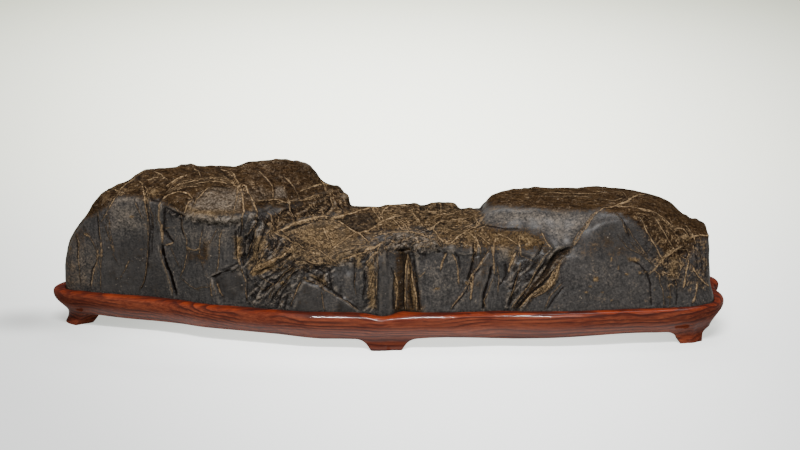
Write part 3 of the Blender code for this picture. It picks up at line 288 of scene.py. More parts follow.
# ---- veins that stand out as fine light lines: (half width, height, points)
GOLD_VEINS = sized((0.5, 0.3), [
    (0.55, 0.3, (-237, 74), (-233, 65), (-234, 51), (-233, 33)),
    [(-229, 77), (-226, 71), (-221, 64), (-219, 59)],
    (0.9, 0.4, (-229, 72), (-226, 70), (-223, 69)),
    (0.6, 0.4, (-217, 90), (-216, 80), (-216, 72), (-215, 65), (-216, 53), (-217, 29)),
    (0.9, 0.4, (-216, 65), (-215, 60), (-215, 55), (-219, 56)),
    (0.8, 0.5, (-218, 62), (-219, 51), (-222, 44), (-225, 30)),
    [(-212, 79), (-209, 70), (-206, 56), (-203, 50)],
    (0.45, 0.2, (-209, 86), (-207, 72), (-205, 56)),
    (0.45, 0.2, (-215, 80), (-211, 85), (-208, 87)),
    (0.6, 0.3, (-190, 113), (-197, 109), (-202, 102), (-206, 95), (-210, 87), (-214, 80)),
    (0.5, 0.2, (-213, 102), (-207, 104), (-196, 102)),
    (0.6, 0.3, (-193, 52), (-197, 45), (-201, 38)),
    [(-187, 95), (-184, 88), (-181, 82)],
    (0.8, 0.4, (-189, 113), (-184, 108), (-180, 98), (-178, 87), (-177, 77)),
    [(-178, 80), (-177.5, 70), (-179, 58), (-180, 47), (-182.5, 36), (-187, 28)],
    [(-183, 109), (-179, 103), (-176, 92), (-173, 84), (-174, 76)],
    (0.5, 0.2, (-178, 119), (-171, 116), (-164, 111)),
    (0.5, 0.2, (-183, 112), (-174, 114), (-166, 112)),
    (0.9, 0.5, (-153, 115), (-159, 111), (-166, 107)),
    [(-153, 114), (-157, 111), (-163, 104)],
    [(-147, 121), (-143, 119), (-140, 114)],
    (0.45, 0.2, (-164, 103), (-156, 107), (-145, 111), (-134, 113), (-124, 112), (-118, 110)),
    (0.45, 0.2, (-162, 102), (-153, 106), (-143, 109), (-133, 111), (-124, 110), (-117, 108)),
    (0.4, 0.2, (-160, 105), (-152, 111), (-141, 113), (-130, 114), (-119, 113)),
    (0.4, 0.2, (-157, 103), (-149, 106), (-140, 107)),
    (0.9, 0.6, (-143, 97), (-147, 101), (-155, 102), (-162, 100), (-167, 96)),
    (1.0, 0.8, (-167, 96), (-168, 92), (-169, 84), (-168, 76), (-168, 68), (-167, 62)),
    (0.42, 0.1, (-169.6, 62), (-169, 56), (-166.6, 48), (-163.6, 40), (-161.6, 33), (-160, 25)),
    (0.8, 0.5, (-167, 62), (-164, 63), (-160, 64)),
    (0.7, 0.4, (-143, 97), (-146, 94), (-148, 90), (-149, 86)),
    (0.6, 0.3, (-156, 91), (-154, 88), (-152, 84)),
    (0.6, 0.4, (-153, 84), (-153, 76), (-151, 71), (-149, 65), (-149, 56), (-151, 47), (-155, 38)),
    [(-136, 75), (-138, 65), (-139, 59), (-137, 51), (-136, 45)],
    (0.8, 0.4, (-150, 62), (-146, 60), (-141, 59), (-138, 61)),
    (0.7, 0.4, (-121, 74), (-123, 66), (-124, 50), (-126, 43)),
    (0.45, 0.2, (-124, 75), (-130, 65), (-133, 63)),
    (0.6, 0.3, (-143, 92), (-141, 96), (-137, 101), (-133, 105), (-128, 107)),
    (0.9, 0.4, (-130, 36), (-130, 30), (-129, 25)),
    (1.1, 0.4, (-126, 35), (-124, 30), (-121, 25)),
    (0.4, 0.2, (-153, 38), (-147, 33), (-139, 29)),
    (0.35, 0.2, (-142, 31), (-137, 32), (-131, 32)),
    (0.35, 0.2, (-162, 61), (-159, 54), (-155, 46)),
    (0.8, 0.5, (-119, 120), (-115, 115), (-111, 109), (-108, 103), (-106, 95), (-105, 88), (-106, 81),
     (-106, 73)),
    (0.8, 0.5, (-111, 110), (-105, 106), (-102, 101), (-99, 95), (-96, 87), (-96, 78), (-101, 72),
     (-103, 68)),
    [(-111, 108), (-111, 97), (-112, 90), (-113, 83)],
    (0.6, 0.4, (-98, 120), (-91, 113), (-86, 107), (-85, 97)),
    [(-78, 115), (-71, 107), (-67, 100), (-65, 95)],
    (0.4, 0.2, (-127, 117), (-118, 111), (-110, 104)),
    (0.4, 0.2, (-127, 121), (-121, 119), (-116, 114)),
    (0.4, 0.2, (-124, 116), (-115, 110), (-108, 101)),
    [(-98, 95), (-84, 97), (-74, 94), (-71, 93)],
    (0.45, 0.2, (-84, 93), (-73, 96), (-62, 97), (-48, 100)),
    (0.9, 0.4, (-67, 103), (-59, 106), (-50, 109), (-44, 108)),
    [(-66, 96), (-60, 99), (-50, 101)],
    (0.6, 0.3, (-75, 100), (-73, 92), (-69, 83)),
    (0.7, 0.4, (-90, 88), (-86, 85), (-85, 81), (-87, 73), (-91, 68)),
    [(-84, 88), (-80, 84), (-81, 79)],
    [(-94, 78), (-97, 70), (-100, 63), (-102, 56), (-104, 52)],
    [(-97, 83), (-95, 77), (-96, 68), (-98, 58)],
    (0.7, 0.4, (-52, 112), (-49, 107), (-48, 101)),
    [(-45, 105), (-43, 97), (-41, 91)],
    [(-39, 104), (-33, 99), (-29, 95)],
    (1.2, 0.7, (-83, 72), (-77, 74), (-69, 79), (-59, 82), (-50, 84), (-43, 84)),
    (0.9, 0.5, (-44, 83), (-34, 85), (-24, 88), (-14, 91), (-5, 90)),
    [(-70, 77), (-61, 80), (-54, 81)],
    (0.4, 0.2, (-54, 81), (-46, 82), (-38, 83)),
    (0.9, 0.8, (-38, 82), (-31, 78), (-26, 74), (-19, 70), (-16, 67), (-13, 63)),
    (0.8, 0.6, (-42, 59), (-35, 64), (-28, 69), (-23, 72), (-14, 73), (-7, 77), (2, 80)),
    (0.8, 0.4, (-48, 77), (-46, 72), (-43, 67)),
    (0.4, 0.2, (-37, 61), (-28, 63), (-16, 63)),
    (0.9, 0.5, (-35, 53), (-26, 56), (-19, 58), (-13, 62), (-3, 65)),
    (1.1, 0.6, (-100, 44), (-92, 49), (-84, 52), (-77, 55), (-72, 59), (-68, 65)),
    (1.0, 0.5, (-99, 44), (-92, 46), (-86, 49), (-80, 53)),
    (0.8, 0.5, (-102, 41), (-97, 47), (-92, 53), (-89, 61), (-86, 65)),
    (0.6, 0.4, (-85, 74), (-82, 71), (-73, 66), (-66, 63)),
    [(-78, 71), (-70, 65), (-58, 61), (-48, 61)],
    [(-62, 53), (-52, 50), (-45, 51), (-35, 48)],
    [(-55, 63), (-48, 58), (-41, 53), (-35, 50)],
    (0.8, 0.4, (-63, 37), (-66, 31), (-68, 25), (-71, 19)),
    (0.6, 0.5, (-62, 37), (-56, 37), (-50, 34), (-42, 29), (-36, 26)),
    (0.6, 0.4, (-36, 26), (-29, 22), (-24, 18), (-19, 15)),
    [(-48, 30), (-47, 24), (-46, 16)],
    (0.8, 0.4, (-49, 35), (-46, 34), (-44, 36), (-47, 40)),
    [(-94, 41), (-88, 38), (-83, 35), (-89, 30), (-94, 33)],
    [(-75, 38), (-71, 41), (-67, 46), (-61, 47)],
    (0.45, 0.3, (-81, 26), (-79, 31), (-73, 36), (-70, 42)),
    (0.45, 0.3, (-87, 23), (-84, 31), (-79, 37), (-75, 43), (-68, 48)),
    (0.45, 0.3, (-91, 46), (-86, 48), (-78, 47), (-72, 52)),
    [(-104, 38), (-105, 31), (-103, 23)],
    (0.8, 0.5, (-108, 46), (-106, 41), (-104, 36)),
    (1.2, 0.5, (-109, 63), (-110, 56), (-108, 48)),
    (0.9, 0.5, (-5, 64), (-9, 58), (-13, 53), (-16, 50)),
    (0.6, 0.4, (-7, 61), (-7, 47), (-8, 36), (-8, 26)),
    (0.6, 0.3, (-10, 46), (-12, 36), (-15, 26)),
    [(-23, 44), (-24, 36), (-23, 27)],
    [(-14, 63), (-10, 56), (-10, 49)],
    (0.7, 0.4, (-13, 75), (-7, 79), (-1, 82), (5, 84), (12, 85)),
    (0.6, 0.3, (3, 83), (6, 80), (10, 75), (13, 74)),
    (0.6, 0.4, (-13, 91), (-9, 86), (-5, 80)),
    (0.6, 0.4, (-9, 90), (-5, 85), (-3, 80)),
    (0.9, 0.4, (-4, 85), (-4, 88), (-2, 91), (5, 94), (14, 92), (18, 90)),
    (0.8, 0.5, (18, 90), (19, 85), (24, 80), (28, 76)),
    (0.6, 0.4, (-3, 64), (-1, 69), (6, 72), (16, 73), (25, 71), (34, 67), (38, 63), (41, 59)),
    [(16, 73), (13, 78), (9, 81)],
    [(21, 90), (29, 88), (35, 87), (46, 89), (54, 90)],
    (0.6, 0.4, (27, 93), (29, 88), (36, 86), (47, 86), (57, 89)),
    [(35, 90), (38, 94), (40, 91), (39, 86)],
    [(36, 81), (45, 82), (54, 82), (63, 84)],
    (0.7, 0.4, (28, 76), (31, 73), (34, 76), (36, 79), (40, 82)),
    (0.7, 0.4, (31, 76), (35, 72), (38, 68), (43, 64)),
    (0.7, 0.5, (44, 63), (51, 69), (58, 73), (64, 76), (68, 79)),
    (0.7, 0.5, (58, 73), (64, 68), (67, 62), (68, 56)),
    (0.6, 0.3, (63, 85), (67, 79), (68, 78)),
    (0.6, 0.4, (64, 72), (70, 67), (75, 63)),
    (0.6, 0.4, (79, 72), (86, 69), (95, 63)),
    (0.9, 0.5, (96, 70), (96, 63), (97, 55)),
    [(97, 56), (103, 53), (109, 50)],
    (0.8, 0.4, (112, 73), (115, 67), (117, 63), (120, 60)),
    (0.8, 0.4, (46, 58), (50, 52), (51, 45), (52, 34)),
    (1.2, 0.4, (38, 45), (40, 52), (43, 58)),
    (0.8, 0.6, (75, 62), (68, 50), (61, 41), (56, 31), (48, 20), (44, 15)),
    (0.6, 0.4, (63, 67), (64, 60), (62, 54), (63, 50)),
    (1.1, 0.4, (63, 45), (61, 34), (60, 23)),
    (0.9, 0.4, (79, 69), (77, 63), (77, 50), (78, 41)),
    [(77, 40), (73, 30), (70, 23), (71, 17)],
    [(80, 49), (81, 41), (80, 28)],
    (1.1, 0.5, (94, 59), (89, 49), (88, 43)),
    (0.6, 0.4, (97, 52), (95, 43), (92, 34), (89, 24)),
    (0.8, 0.5, (115, 58), (108, 45), (101, 32), (94, 24), (89, 16)),
    (0.8, 0.6, (124, 50), (116, 36), (103, 26), (94, 16)),
    (0.8, 0.5, (124, 48), (122, 39), (113, 29), (105, 25)),
    [(120, 60), (114, 56), (109, 48), (107, 45)],
    (0.7, 0.4, (5, 46), (7, 35), (6, 24), (6, 16)),
    (0.9, 0.5, (14, 58), (13, 45), (13, 32), (13, 15)),
    (0.8, 0.5, (16, 53), (19, 35), (21, 24), (21, 15)),
    [(21, 44), (23, 40), (28, 45)],
    (0.75, 0.5, (132, 59), (138, 66), (142, 72), (148, 80), (153, 86), (159, 90), (167, 92), (179, 96),
     (192, 101), (199, 101)),
    [(134, 63), (139, 71), (145, 79), (152, 87)],
    (0.6, 0.4, (167, 92), (179, 92), (191, 90), (200, 86), (205, 80), (212, 71), (218, 65)),
    (0.45, 0.3, (186, 90), (198, 87), (205, 83), (210, 77)),
    [(167, 87), (171, 82), (174, 71)],
    (0.7, 0.5, (184, 86), (189, 74), (196, 62), (200, 53), (202, 46)),
    (0.6, 0.4, (195, 86), (201, 75), (208, 63), (215, 52), (218, 45)),
    (0.4, 0.3, (168, 70), (175, 61), (182, 58), (191, 51)),
    (0.4, 0.2, (176, 66), (184, 59), (193, 49)),
    (0.4, 0.2, (175, 77), (179, 69), (190, 55)),
    (0.8, 0.6, (191, 41), (196, 47), (203, 54), (210, 59), (219, 63)),
    [(198, 51), (205, 58), (209, 60)],
    [(194, 46), (199, 41), (200, 36)],
    (1.0, 0.5, (222, 53), (219, 41), (217, 31)),
    (0.8, 0.5, (223, 50), (229, 40), (234, 35), (239, 32)),
    (1.1, 0.5, (228, 37), (226, 26), (223, 20)),
    (0.7, 0.5, (221, 78), (226, 71), (228, 64)),
    (0.8, 0.5, (223, 69), (231, 70), (243, 70)),
    [(212, 76), (219, 75), (222, 71), (215, 69)],
    [(216, 69), (221, 67), (226, 69)],
    [(216, 60), (221, 60), (223, 56), (220, 53), (216, 55)],
    (0.6, 0.4, (206, 51), (209, 42), (212, 33)),
    [(201, 44), (206, 41), (211, 42)],
    (0.5, 0.2, (116, 102), (130, 102), (151, 101), (169, 102)),
    (0.35, 0.2, (122, 99), (139, 99), (153, 98)),
    (0.35, 0.2, (158, 97), (168, 96), (177, 98)),
    (0.35, 0.2, (176, 105), (179, 101), (179, 97)),
    (0.7, 0.4, (112, 74), (115, 66), (120, 60)),
    (0.7, 0.5, (128, 55), (125, 51), (123, 43), (118, 33), (111, 27)),
    (0.6, 0.3, (127, 36), (118, 27), (114, 17)),
    (0.4, 0.2, (186, 42), (191, 44), (185, 45)),
    (0.4, 0.2, (198, 42), (201, 30), (202, 18)),
    (0.35, 0.2, (206, 36), (207, 26), (206, 17)),
])

# ---- relief and veins of the back, drawn on the mirrored plane
BACK_GROOVES = [
    (0.99, 1.2, (-207, 86), (-199, 62), (-204, 34), (-199, 12)),
    (1.2, 2.8, (-172, 100), (-162, 80), (-159, 56), (-148, 34), (-146, 10)),
    (0.93, 0.9, (-122, 74), (-112, 56), (-117, 34)),
    (1.1, 1.7, (-82, 86), (-95, 60), (-104, 34), (-101, 10)),
    (1.1, 1.6, (-50, 72), (-63, 48), (-60, 30), (-71, 10)),
    (0.93, 0.9, (-29, 60), (-37, 34), (-34, 12)),
    (1.2, 2.1, (3, 68), (-6, 48), (-2, 28), (-9, 10)),
    (0.99, 1.1, (12, 60), (15, 36), (8, 12)),
    (1.5, 2.8, (56, 76), (69, 58), (85, 44), (98, 24), (105, 10)),
    (0.93, 0.9, (90, 72), (101, 54), (114, 40)),
    (1.1, 1.5, (153, 82), (142, 60), (151, 38), (146, 12)),
    (1.1, 1.2, (199, 76), (190, 56), (205, 34), (200, 10)),
    (0.9, 0.8, (168, 60), (180, 46), (196, 40)),
]
BACK_LEDGES = [
    (4.0, 46, (-84, 74), (-104, 80), (-130, 76), (-158, 84)),
    (3.2, 30, (-10, 54), (-30, 58), (-54, 52)),
    (3.6, 34, (150, 62), (126, 70), (100, 62), (82, 50)),
    (3.2, 34, (-146, 12), (-148, 34), (-159, 56), (-162, 78)),
    (3.4, 30, (104, 12), (98, 26), (84, 46), (66, 60)),
    (2.6, 30, (222, 60), (206, 68), (192, 60)),
    (2.6, 26, (-166, 50), (-180, 56), (-200, 48)),
]
BACK_HOLLOWS = [
    (2.2, 7, (-142, 62), (-118, 68), (-112, 44), (-134, 36)),
    (1.8, 7, (-90, 50), (-72, 56), (-66, 30), (-86, 24)),
    (2.0, 7, (152, 52), (174, 56), (180, 30), (156, 26)),
]
BACK_LUMPS = [
    (-182, 34, 14, 18, 3.0), (-126, 24, 14, 10, 2.4), (-74, 74, 14, 9, 2.6), (-20, 32, 10, 16, 2.4),
    (30, 40, 14, 18, 3.0), (118, 40, 14, 18, 3.0), (206, 50, 12, 14, 2.0), (54, 26, 9, 12, 2.2),
    (-222, 44, 12, 18, 2.4), (-98, 92, 16, 10, 2.0), (130, 88, 22, 8, 1.8),
]
BACK_VEINS = [
    (0.8, 0.5, (-225, 70), (-190, 80), (-160, 70), (-130, 84)),
    (0.7, 0.5, (-186, 100), (-178, 76), (-184, 50), (-176, 20)),
    (0.8, 0.5, (-140, 108), (-128, 84), (-132, 60), (-120, 30)),
    (0.7, 0.5, (-118, 104), (-100, 90), (-92, 70), (-84, 64)),
    (0.9, 0.6, (-70, 100), (-60, 78), (-40, 66), (-16, 60)),
    (0.7, 0.4, (-52, 88), (-34, 70), (-24, 44), (-22, 16)),
    (0.9, 0.6, (-10, 74), (14, 66), (34, 70), (60, 60)),
    (0.7, 0.4, (22, 76), (30, 56), (24, 34), (30, 12)),
    (0.8, 0.6, (70, 84), (84, 66), (110, 60), (130, 46)),
    (0.7, 0.5, (112, 92), (124, 74), (120, 52), (130, 20)),
    (0.8, 0.5, (160, 90), (172, 72), (168, 44), (176, 14)),
    (0.7, 0.4, (186, 86), (206, 62), (222, 56)),
]


class Tone(Enum):
    """What a part of the stone's skin looks like; each is an attribute of the stone's mesh."""

    TAN = "tan"
    BROWN = "brown"
    # pale grey facets, lightened as painted sheen and painted highlight
    PALE_AND_SHEEN = "pale"
    # dark patches, and painted shade in hollows, beside ledges and low on the left face
    DARK = "dark"
    VEINED = "veined"


# ---- the skin of the front, for each tone: (strength, width of its soft edge, outline)
TAN_AREAS = [
    (0.56, 7.0, (-100, 43), (-94, 52), (-88, 50), (-80, 56), (-72, 64), (-84, 72), (-74, 77), (-60, 82),
     (-38, 86), (-30, 86), (-24, 72), (-14, 66), (-16, 60), (-28, 56), (-36, 50), (-50, 49), (-66, 50),
     (-74, 54), (-84, 48)),
    (0.32, 7.0, (-32, 86), (-13, 90), (-5, 92), (12, 93), (30, 94), (52, 94), (60, 88), (68, 84), (66, 76),
     (56, 72), (44, 70), (34, 72), (20, 76), (9, 76), (0, 74), (-10, 66), (-16, 60), (-26, 72)),
    (1.0, 9.0, (-72, 73), (-56, 79), (-39, 80), (-28, 67), (-42, 56), (-60, 60)),
    (1.2, 2.0, (-100, 44), (-91, 50), (-82, 53), (-82, 48), (-91, 43), (-99, 41)),
    (0.58, 8.0, (35, 72), (51, 76), (68, 74), (82, 73), (100, 72), (112, 68), (114, 63), (104, 61),
     (82, 63), (49, 66)),
    (0.7, 5.0, (204, 54), (216, 54), (213, 40), (206, 38)),
    (0.5, 4.0, (196, 54), (204, 60), (208, 58), (200, 48)),
    (0.7, 1.6, (125, 50), (124, 40), (121, 34), (112, 28), (103, 25), (110, 31), (117, 38), (122, 45)),
    (0.9, 2.0, (215, 70), (222, 71), (224, 67), (217, 66)),
    (0.7, 3.0, (-16, 51), (-10, 51), (-8, 38), (-8, 18), (-14, 18), (-13, 35)),
    (0.7, 1.0, (4.5, 40), (6, 42), (8, 30), (7, 22), (5, 27)),
    (0.5, 0.8, (13, 54), (14.5, 52), (22, 20), (19.5, 17)),
    (0.5, 3.0, (-26, 56), (-18, 58), (-18, 46), (-24, 46)),
    (0.6, 3.0, (-56, 42), (-46, 42), (-44, 34), (-52, 35)),
    (0.7, 3.0, (-113, 70), (-107, 68), (-106, 54), (-112, 52)),
    (0.6, 4.0, (-150, 92), (-137, 90), (-122, 89), (-110, 88), (-110, 84), (-125, 84), (-142, 86)),
    (0.5, 5.0, (-178, 106), (-170, 106), (-168, 98), (-179, 98)),
    (0.3, 7.0, (-216, 100), (-198, 108), (-186, 110), (-184, 104), (-200, 102), (-212, 94)),
    (0.5, 2.0, (-94, 70), (-86, 70), (-94, 52), (-102, 44), (-103, 47)),
    (0.9, 1.2, (150, 40), (153, 40), (153, 37), (149, 37)),
    (0.8, 2.0, (174, 54), (183, 54), (184, 51), (176, 51)),
    (0.5, 3.0, (88, 64), (92, 64), (94, 50), (88, 48)),
]
BROWN_AREAS = [
    (0.7, 3.0, (8, 62), (13, 62), (20, 44), (26, 18), (24, 14), (4, 14), (5, 44)),
    (1.05, 6.0, (-252, 58), (-252, 140), (-60, 140), (-34, 112), (-36, 92), (-50, 90), (-66, 95),
     (-76, 91), (-88, 92), (-100, 88), (-112, 86), (-126, 84), (-140, 84), (-150, 86), (-160, 92),
     (-168, 96), (-179, 96), (-184, 98), (-201, 100), (-209, 92), (-218, 86), (-230, 82), (-240, 70),
     (-246, 54)),
    (1.05, 6.0, (75, 92), (74, 120), (250, 120), (243, 71), (239, 68), (228, 67), (223, 58), (212, 51),
     (203, 54), (195, 66), (187, 74), (177, 83), (165, 87), (156, 88), (138, 88), (116, 89), (98, 91)),
    (1.0, 10.0, (35, 74), (51, 79), (68, 77), (82, 76), (100, 74), (113, 70), (117, 63), (109, 58),
     (93, 61), (82, 60), (67, 62), (49, 64), (38, 67)),
    (1.0, 4.0, (-92, 80), (-76, 90), (-62, 95), (-48, 102), (-36, 105), (-29, 97), (-28, 91), (-36, 88),
     (-65, 83), (-76, 77), (-84, 70)),
    (0.4, 9.0, (137, 67), (155, 68), (177, 65), (186, 57), (164, 53), (140, 57)),
    (0.6, 5.0, (-150, 61), (-140, 58), (-136, 66), (-130, 66), (-131, 54), (-134, 49), (-141, 52),
     (-149, 49)),
    (0.4, 10.0, (-248, 90), (-234, 90), (-226, 70), (-222, 40), (-226, 24), (-248, 24)),
    (0.4, 8.0, (60, 54), (76, 56), (72, 30), (60, 30)),
    (1.1, 6.0, (-36, 88), (-5, 100), (60, 100), (70, 84), (50, 74), (20, 78), (-10, 72), (-30, 66)),
    (0.7, 3.0, (134, 62), (122, 58), (106, 40), (92, 18), (102, 20), (116, 38), (128, 52)),
]
VEINED_AREAS = [
    (1.2, 3.0, (-92, 80), (-76, 90), (-62, 95), (-48, 102), (-36, 105), (-29, 97), (-36, 88), (-65, 83),
     (-84, 70)),
    (0.4, 8.0, (-222, 88), (-184, 99), (-160, 90), (-110, 82), (-60, 92), (-40, 112), (-120, 140),
     (-230, 130)),
    (1.0, 6.0, (-100, 44), (-92, 74), (-40, 92), (20, 100), (70, 90), (76, 64), (30, 60), (-10, 56),
     (-60, 44)),
    (0.7, 8.0, (176, 92), (214, 84), (240, 66), (238, 28), (204, 28), (190, 50)),
    (0.4, 4.0, (84, 92), (84, 104), (200, 106), (214, 90), (160, 92)),
]
# pale grey facets, with painted sheen and painted highlight laid on them
PALE_AND_SHEEN_AREAS = [
    (0.6, 7.0, (-147, 86), (-147, 94), (-140, 101), (-128, 105), (-116, 105), (-107, 103), (-106, 96),
     (-108, 89), (-118, 86), (-130, 86)),
    (0.3, 4.0, (-107, 104), (-93, 107), (-86, 102), (-80, 99), (-77, 97), (-93, 95), (-104, 96)),
    (0.6, 2.4, (-85, 97), (-84, 107), (-78, 106), (-75, 98)),
    (0.75, 3.0, (-207, 94), (-204, 98.5), (-185, 98), (-184, 95)),
    (0.52, 12.0, (-208, 96), (-180, 96), (-182, 74), (-210, 72)),
    (0.44, 7.0, (66, 80), (74, 91), (84, 92), (110, 90), (140, 89), (152, 84), (147, 76), (134, 68),
     (124, 66), (112, 76), (90, 78)),
    (0.12, 10.0, (140, 66), (150, 76), (160, 85), (170, 84), (172, 74), (166, 60), (148, 54), (130, 54)),
    (0.9, 4.0, (-150, 86), (-137, 87), (-125, 85), (-107, 84), (-107, 78), (-118, 78), (-131, 78),
     (-144, 81)),
    (0.6, 5.0, (80, 62), (93, 61), (92, 54), (82, 52)),
    (0.6, 3.0, (24, 66), (37, 66), (38, 59), (26, 58)),
    (0.5, 4.0, (43, 60), (50, 58), (50, 50), (44, 50)),
    (0.65, 4.0, (-3, 63), (2, 67), (8, 72), (18, 74), (27, 71), (35, 67), (39, 61), (31, 60), (19, 62),
     (10, 63), (3, 60)),
    (0.9, 2.0, (-36, 54), (-29, 54), (-28, 49), (-35, 48)),
    (0.24, 14.0, (22, 51), (51, 54), (51, 22), (26, 19)),
    (0.12, 14.0, (139, 51), (184, 51), (181, 31), (141, 31)),
    (0.3, 8.0, (-160, 80), (-108, 78), (-110, 62), (-156, 62)),
    (0.6, 2.0, (-112, 48), (-107, 46), (-106, 40), (-110, 40)),
    (0.45, 12.0, (-242, 66), (-222, 64), (-220, 30), (-240, 28)),
    (0.14, 8.0, (-112, 108), (-112, 132), (-56, 132), (-56, 112)),
    (0.14, 8.0, (-96, 48), (-66, 48), (-64, 20), (-94, 20)),
]
# dark patches, and painted shade in hollows, beside ledges and low on the left face
DARK_AND_SHADE_AREAS = [
    (0.4, 10.0, (148, 78), (160, 86), (180, 82), (192, 70), (186, 58), (160, 60), (150, 68)),
    (0.7, 1.2, (-36, 81), (-31, 86), (-13, 88), (-7, 78), (-20, 72), (-24, 73)),
    (0.12, 3.0, (-87, 90), (-74, 90), (-72, 80), (-86, 76)),
    (0.7, 1.6, (22, 93), (29, 94), (30, 89), (24, 88)),
    (0.7, 1.6, (34, 94), (42, 95), (43, 89), (37, 89)),
    (0.5, 1.6, (38, 83), (45, 84), (46, 79), (39, 79)),
    (0.5, 2.0, (46, 92), (56, 94), (62, 89), (50, 88)),
    (0.4, 2.0, (2, 90), (14, 84), (20, 86), (8, 92)),
    (0.15, 3.0, (-62, 96), (-42, 98), (-40, 88), (-60, 83)),
    (0.4, 2.5, (-6, 52), (2, 52), (3, 14), (-8, 14)),
    (0.42, 14.0, (-218, 67), (-176, 73), (-167, 59), (-158, 23), (-227, 23)),
    (0.5, 4.0, (97, 52), (109, 51), (107, 38), (98, 32)),
    (0.5, 3.0, (-129, 39), (-113, 44), (-106, 40), (-105, 30), (-112, 23), (-122, 24)),
    (0.35, 4.0, (-168, 94), (-158, 92), (-160, 72), (-166, 70)),
    (0.45, 2.0, (-61, 36), (-46, 29), (-45, 14), (-69, 14)),
    (0.5, 2.0, (-36, 25), (-21, 15), (-38, 12)),
    (0.35, 5.0, (112, 62), (128, 62), (126, 40), (112, 36)),
    (0.3, 6.0, (-40, 76), (-14, 76), (-12, 58), (-40, 58)),
    (0.4, 8.0, (184, 84), (196, 84), (204, 70), (196, 62), (186, 72)),
]
FRONT_SKIN = {Tone.TAN: TAN_AREAS, Tone.BROWN: BROWN_AREAS, Tone.VEINED: VEINED_AREAS, Tone.PALE_AND_SHEEN: PALE_AND_SHEEN_AREAS,
              Tone.DARK: DARK_AND_SHADE_AREAS}
# small flecks of tan: (a, b, half length, half height)
FLECKS = [
    (-226, 71, 2.6, 1.5), (-190, 84, 2.2, 1.2), (-241, 60, 1.6, 1.4), (-208, 79, 1.4, 0.8),
    (-19, 83.5, 2.4, 1.2), (57.5, 36, 1.9, 1.9), (147, 33, 2.2, 1.2), (163, 53, 1.0, 2.0),
    (168, 47, 0.9, 2.2), (174, 42, 2.2, 0.8), (144, 29, 2.0, 1.0), (156, 29, 1.6, 0.9),
    (163, 23, 1.4, 1.2), (184, 43, 1.6, 1.4), (206, 25, 2.4, 1.2), (-182, 60, 3.6, 0.7),
    (-165, 75, 2.6, 0.8), (36, 32, 3.0, 1.0), (80, 60, 1.4, 1.0), (195, 31, 1.0, 0.9), (-60, 39, 1.6, 1.4),
    (-50, 37, 3.0, 2.2), (-76, 36, 1.6, 1.8), (201, 104, 1.2, 1.0), (160, 104, 1.4, 0.8),
]


# ---- plain geometry
def smooth_curve(knots: list[float], values: list[float], at: Array) -> Array:
    """Smooth curve through the knots that never swings past them.

    Args:
        knots: Places of the known values, rising.
        values: Known values.
        at: Places asked for.

    Returns:
        The curve's value at each place.
    """
    knots = np.asarray(knots, float)
    values = np.asarray(values, float)
    width = np.diff(knots)
    slope = np.diff(values) / width
    same_way = slope[:-1] * slope[1:] > 0
    before = np.where(same_way, slope[:-1], 1.0)
    after = np.where(same_way, slope[1:], 1.0)
    weight_a = 2 * width[1:] + width[:-1]
    weight_b = width[1:] + 2 * width[:-1]
    inner = (weight_a + weight_b) / (weight_a / before + weight_b / after)
    tangent = np.concatenate(([slope[0]], np.where(same_way, inner, 0.0), [slope[-1]]))
    span = np.clip(np.searchsorted(knots, at) - 1, 0, len(width) - 1)
    h = width[span]
    t = np.clip((at - knots[span]) / h, 0.0, 1.0)
    return ((1 + 2 * t) * (1 - t) ** 2 * values[span] + t * (1 - t) ** 2 * h * tangent[span]
            + t * t * (3 - 2 * t) * values[span + 1] + t * t * (t - 1) * h * tangent[span + 1])


def line_at(line: list, x: Array) -> tuple[Array, Array]:
    """Y and Z of a long line at the given x values."""
    knots = [point[0] for point in line]
    return (smooth_curve(knots, [point[1] for point in line], x),
            smooth_curve(knots, [point[2] for point in line], x))


def smooth_step(low: float, high: float, value: Array) -> Array:
    """0 below low, 1 above high, with a soft ramp between."""
    t = np.clip((value - low) / (high - low), 0.0, 1.0)
    return t * t * (3 - 2 * t)


def run_length(points: Array) -> Array:
    """Distance along a broken line to each of its points."""
    return np.concatenate(([0.0], np.cumsum(np.linalg.norm(np.diff(points, axis=0), axis=1))))


def resampled(points: Array, run: Array, places: Array) -> Array:
    """Points at the given places along a line whose points lie run along it."""
    return np.stack([np.interp(places, run, points[:, 0]), np.interp(places, run, points[:, 1])], axis=1)


def grid_normals(grid: Array) -> Array:
    """Direction square to the surface at each point of a grid."""
    normal = np.cross(np.gradient(grid, axis=0), np.gradient(grid, axis=1))
    return normal / (np.linalg.norm(normal, axis=2, keepdims=True) + TINY)


def lumpy(points: Array, size: float, seed: int) -> Array:
    """Smooth noise.

    Args:
        points: Where to read it.
        size: Size of its lumps, in millimetres.
        seed: Which noise.

    Returns:
        A number from -1 to 1 for each point.
    """
    shift = Vector((seed * 17.3, seed * 5.1, seed * 9.7))
    scaled = points / size
    return np.array([noise.noise(Vector(point) + shift) for point in scaled])


def new_piece(name: str, vertices: Array, faces: list, sharp_angle: float) -> Piece:
    """Closed, outward-facing, smoothly shaded object from millimetre points.

    Args:
        name: The object's name.
        vertices: Points in millimetres, one row each.
        faces: Tuples of point numbers.
        sharp_angle: Edges sharper than this, in degrees, stay sharp.

    Returns:
        The new object, with its place in its mesh.
    """
    mesh = bpy.data.meshes.new(name)
    mesh.from_pydata((vertices * MM).tolist(), [], faces)
    piece = bpy.data.objects.new(name, mesh)
    bpy.context.scene.collection.objects.link(piece)
    bpy.ops.object.select_all(action="DESELECT")
    piece.select_set(True)
    bpy.context.view_layer.objects.active = piece
    bpy.ops.object.shade_smooth_by_angle(angle=math.radians(sharp_angle))
    return piece


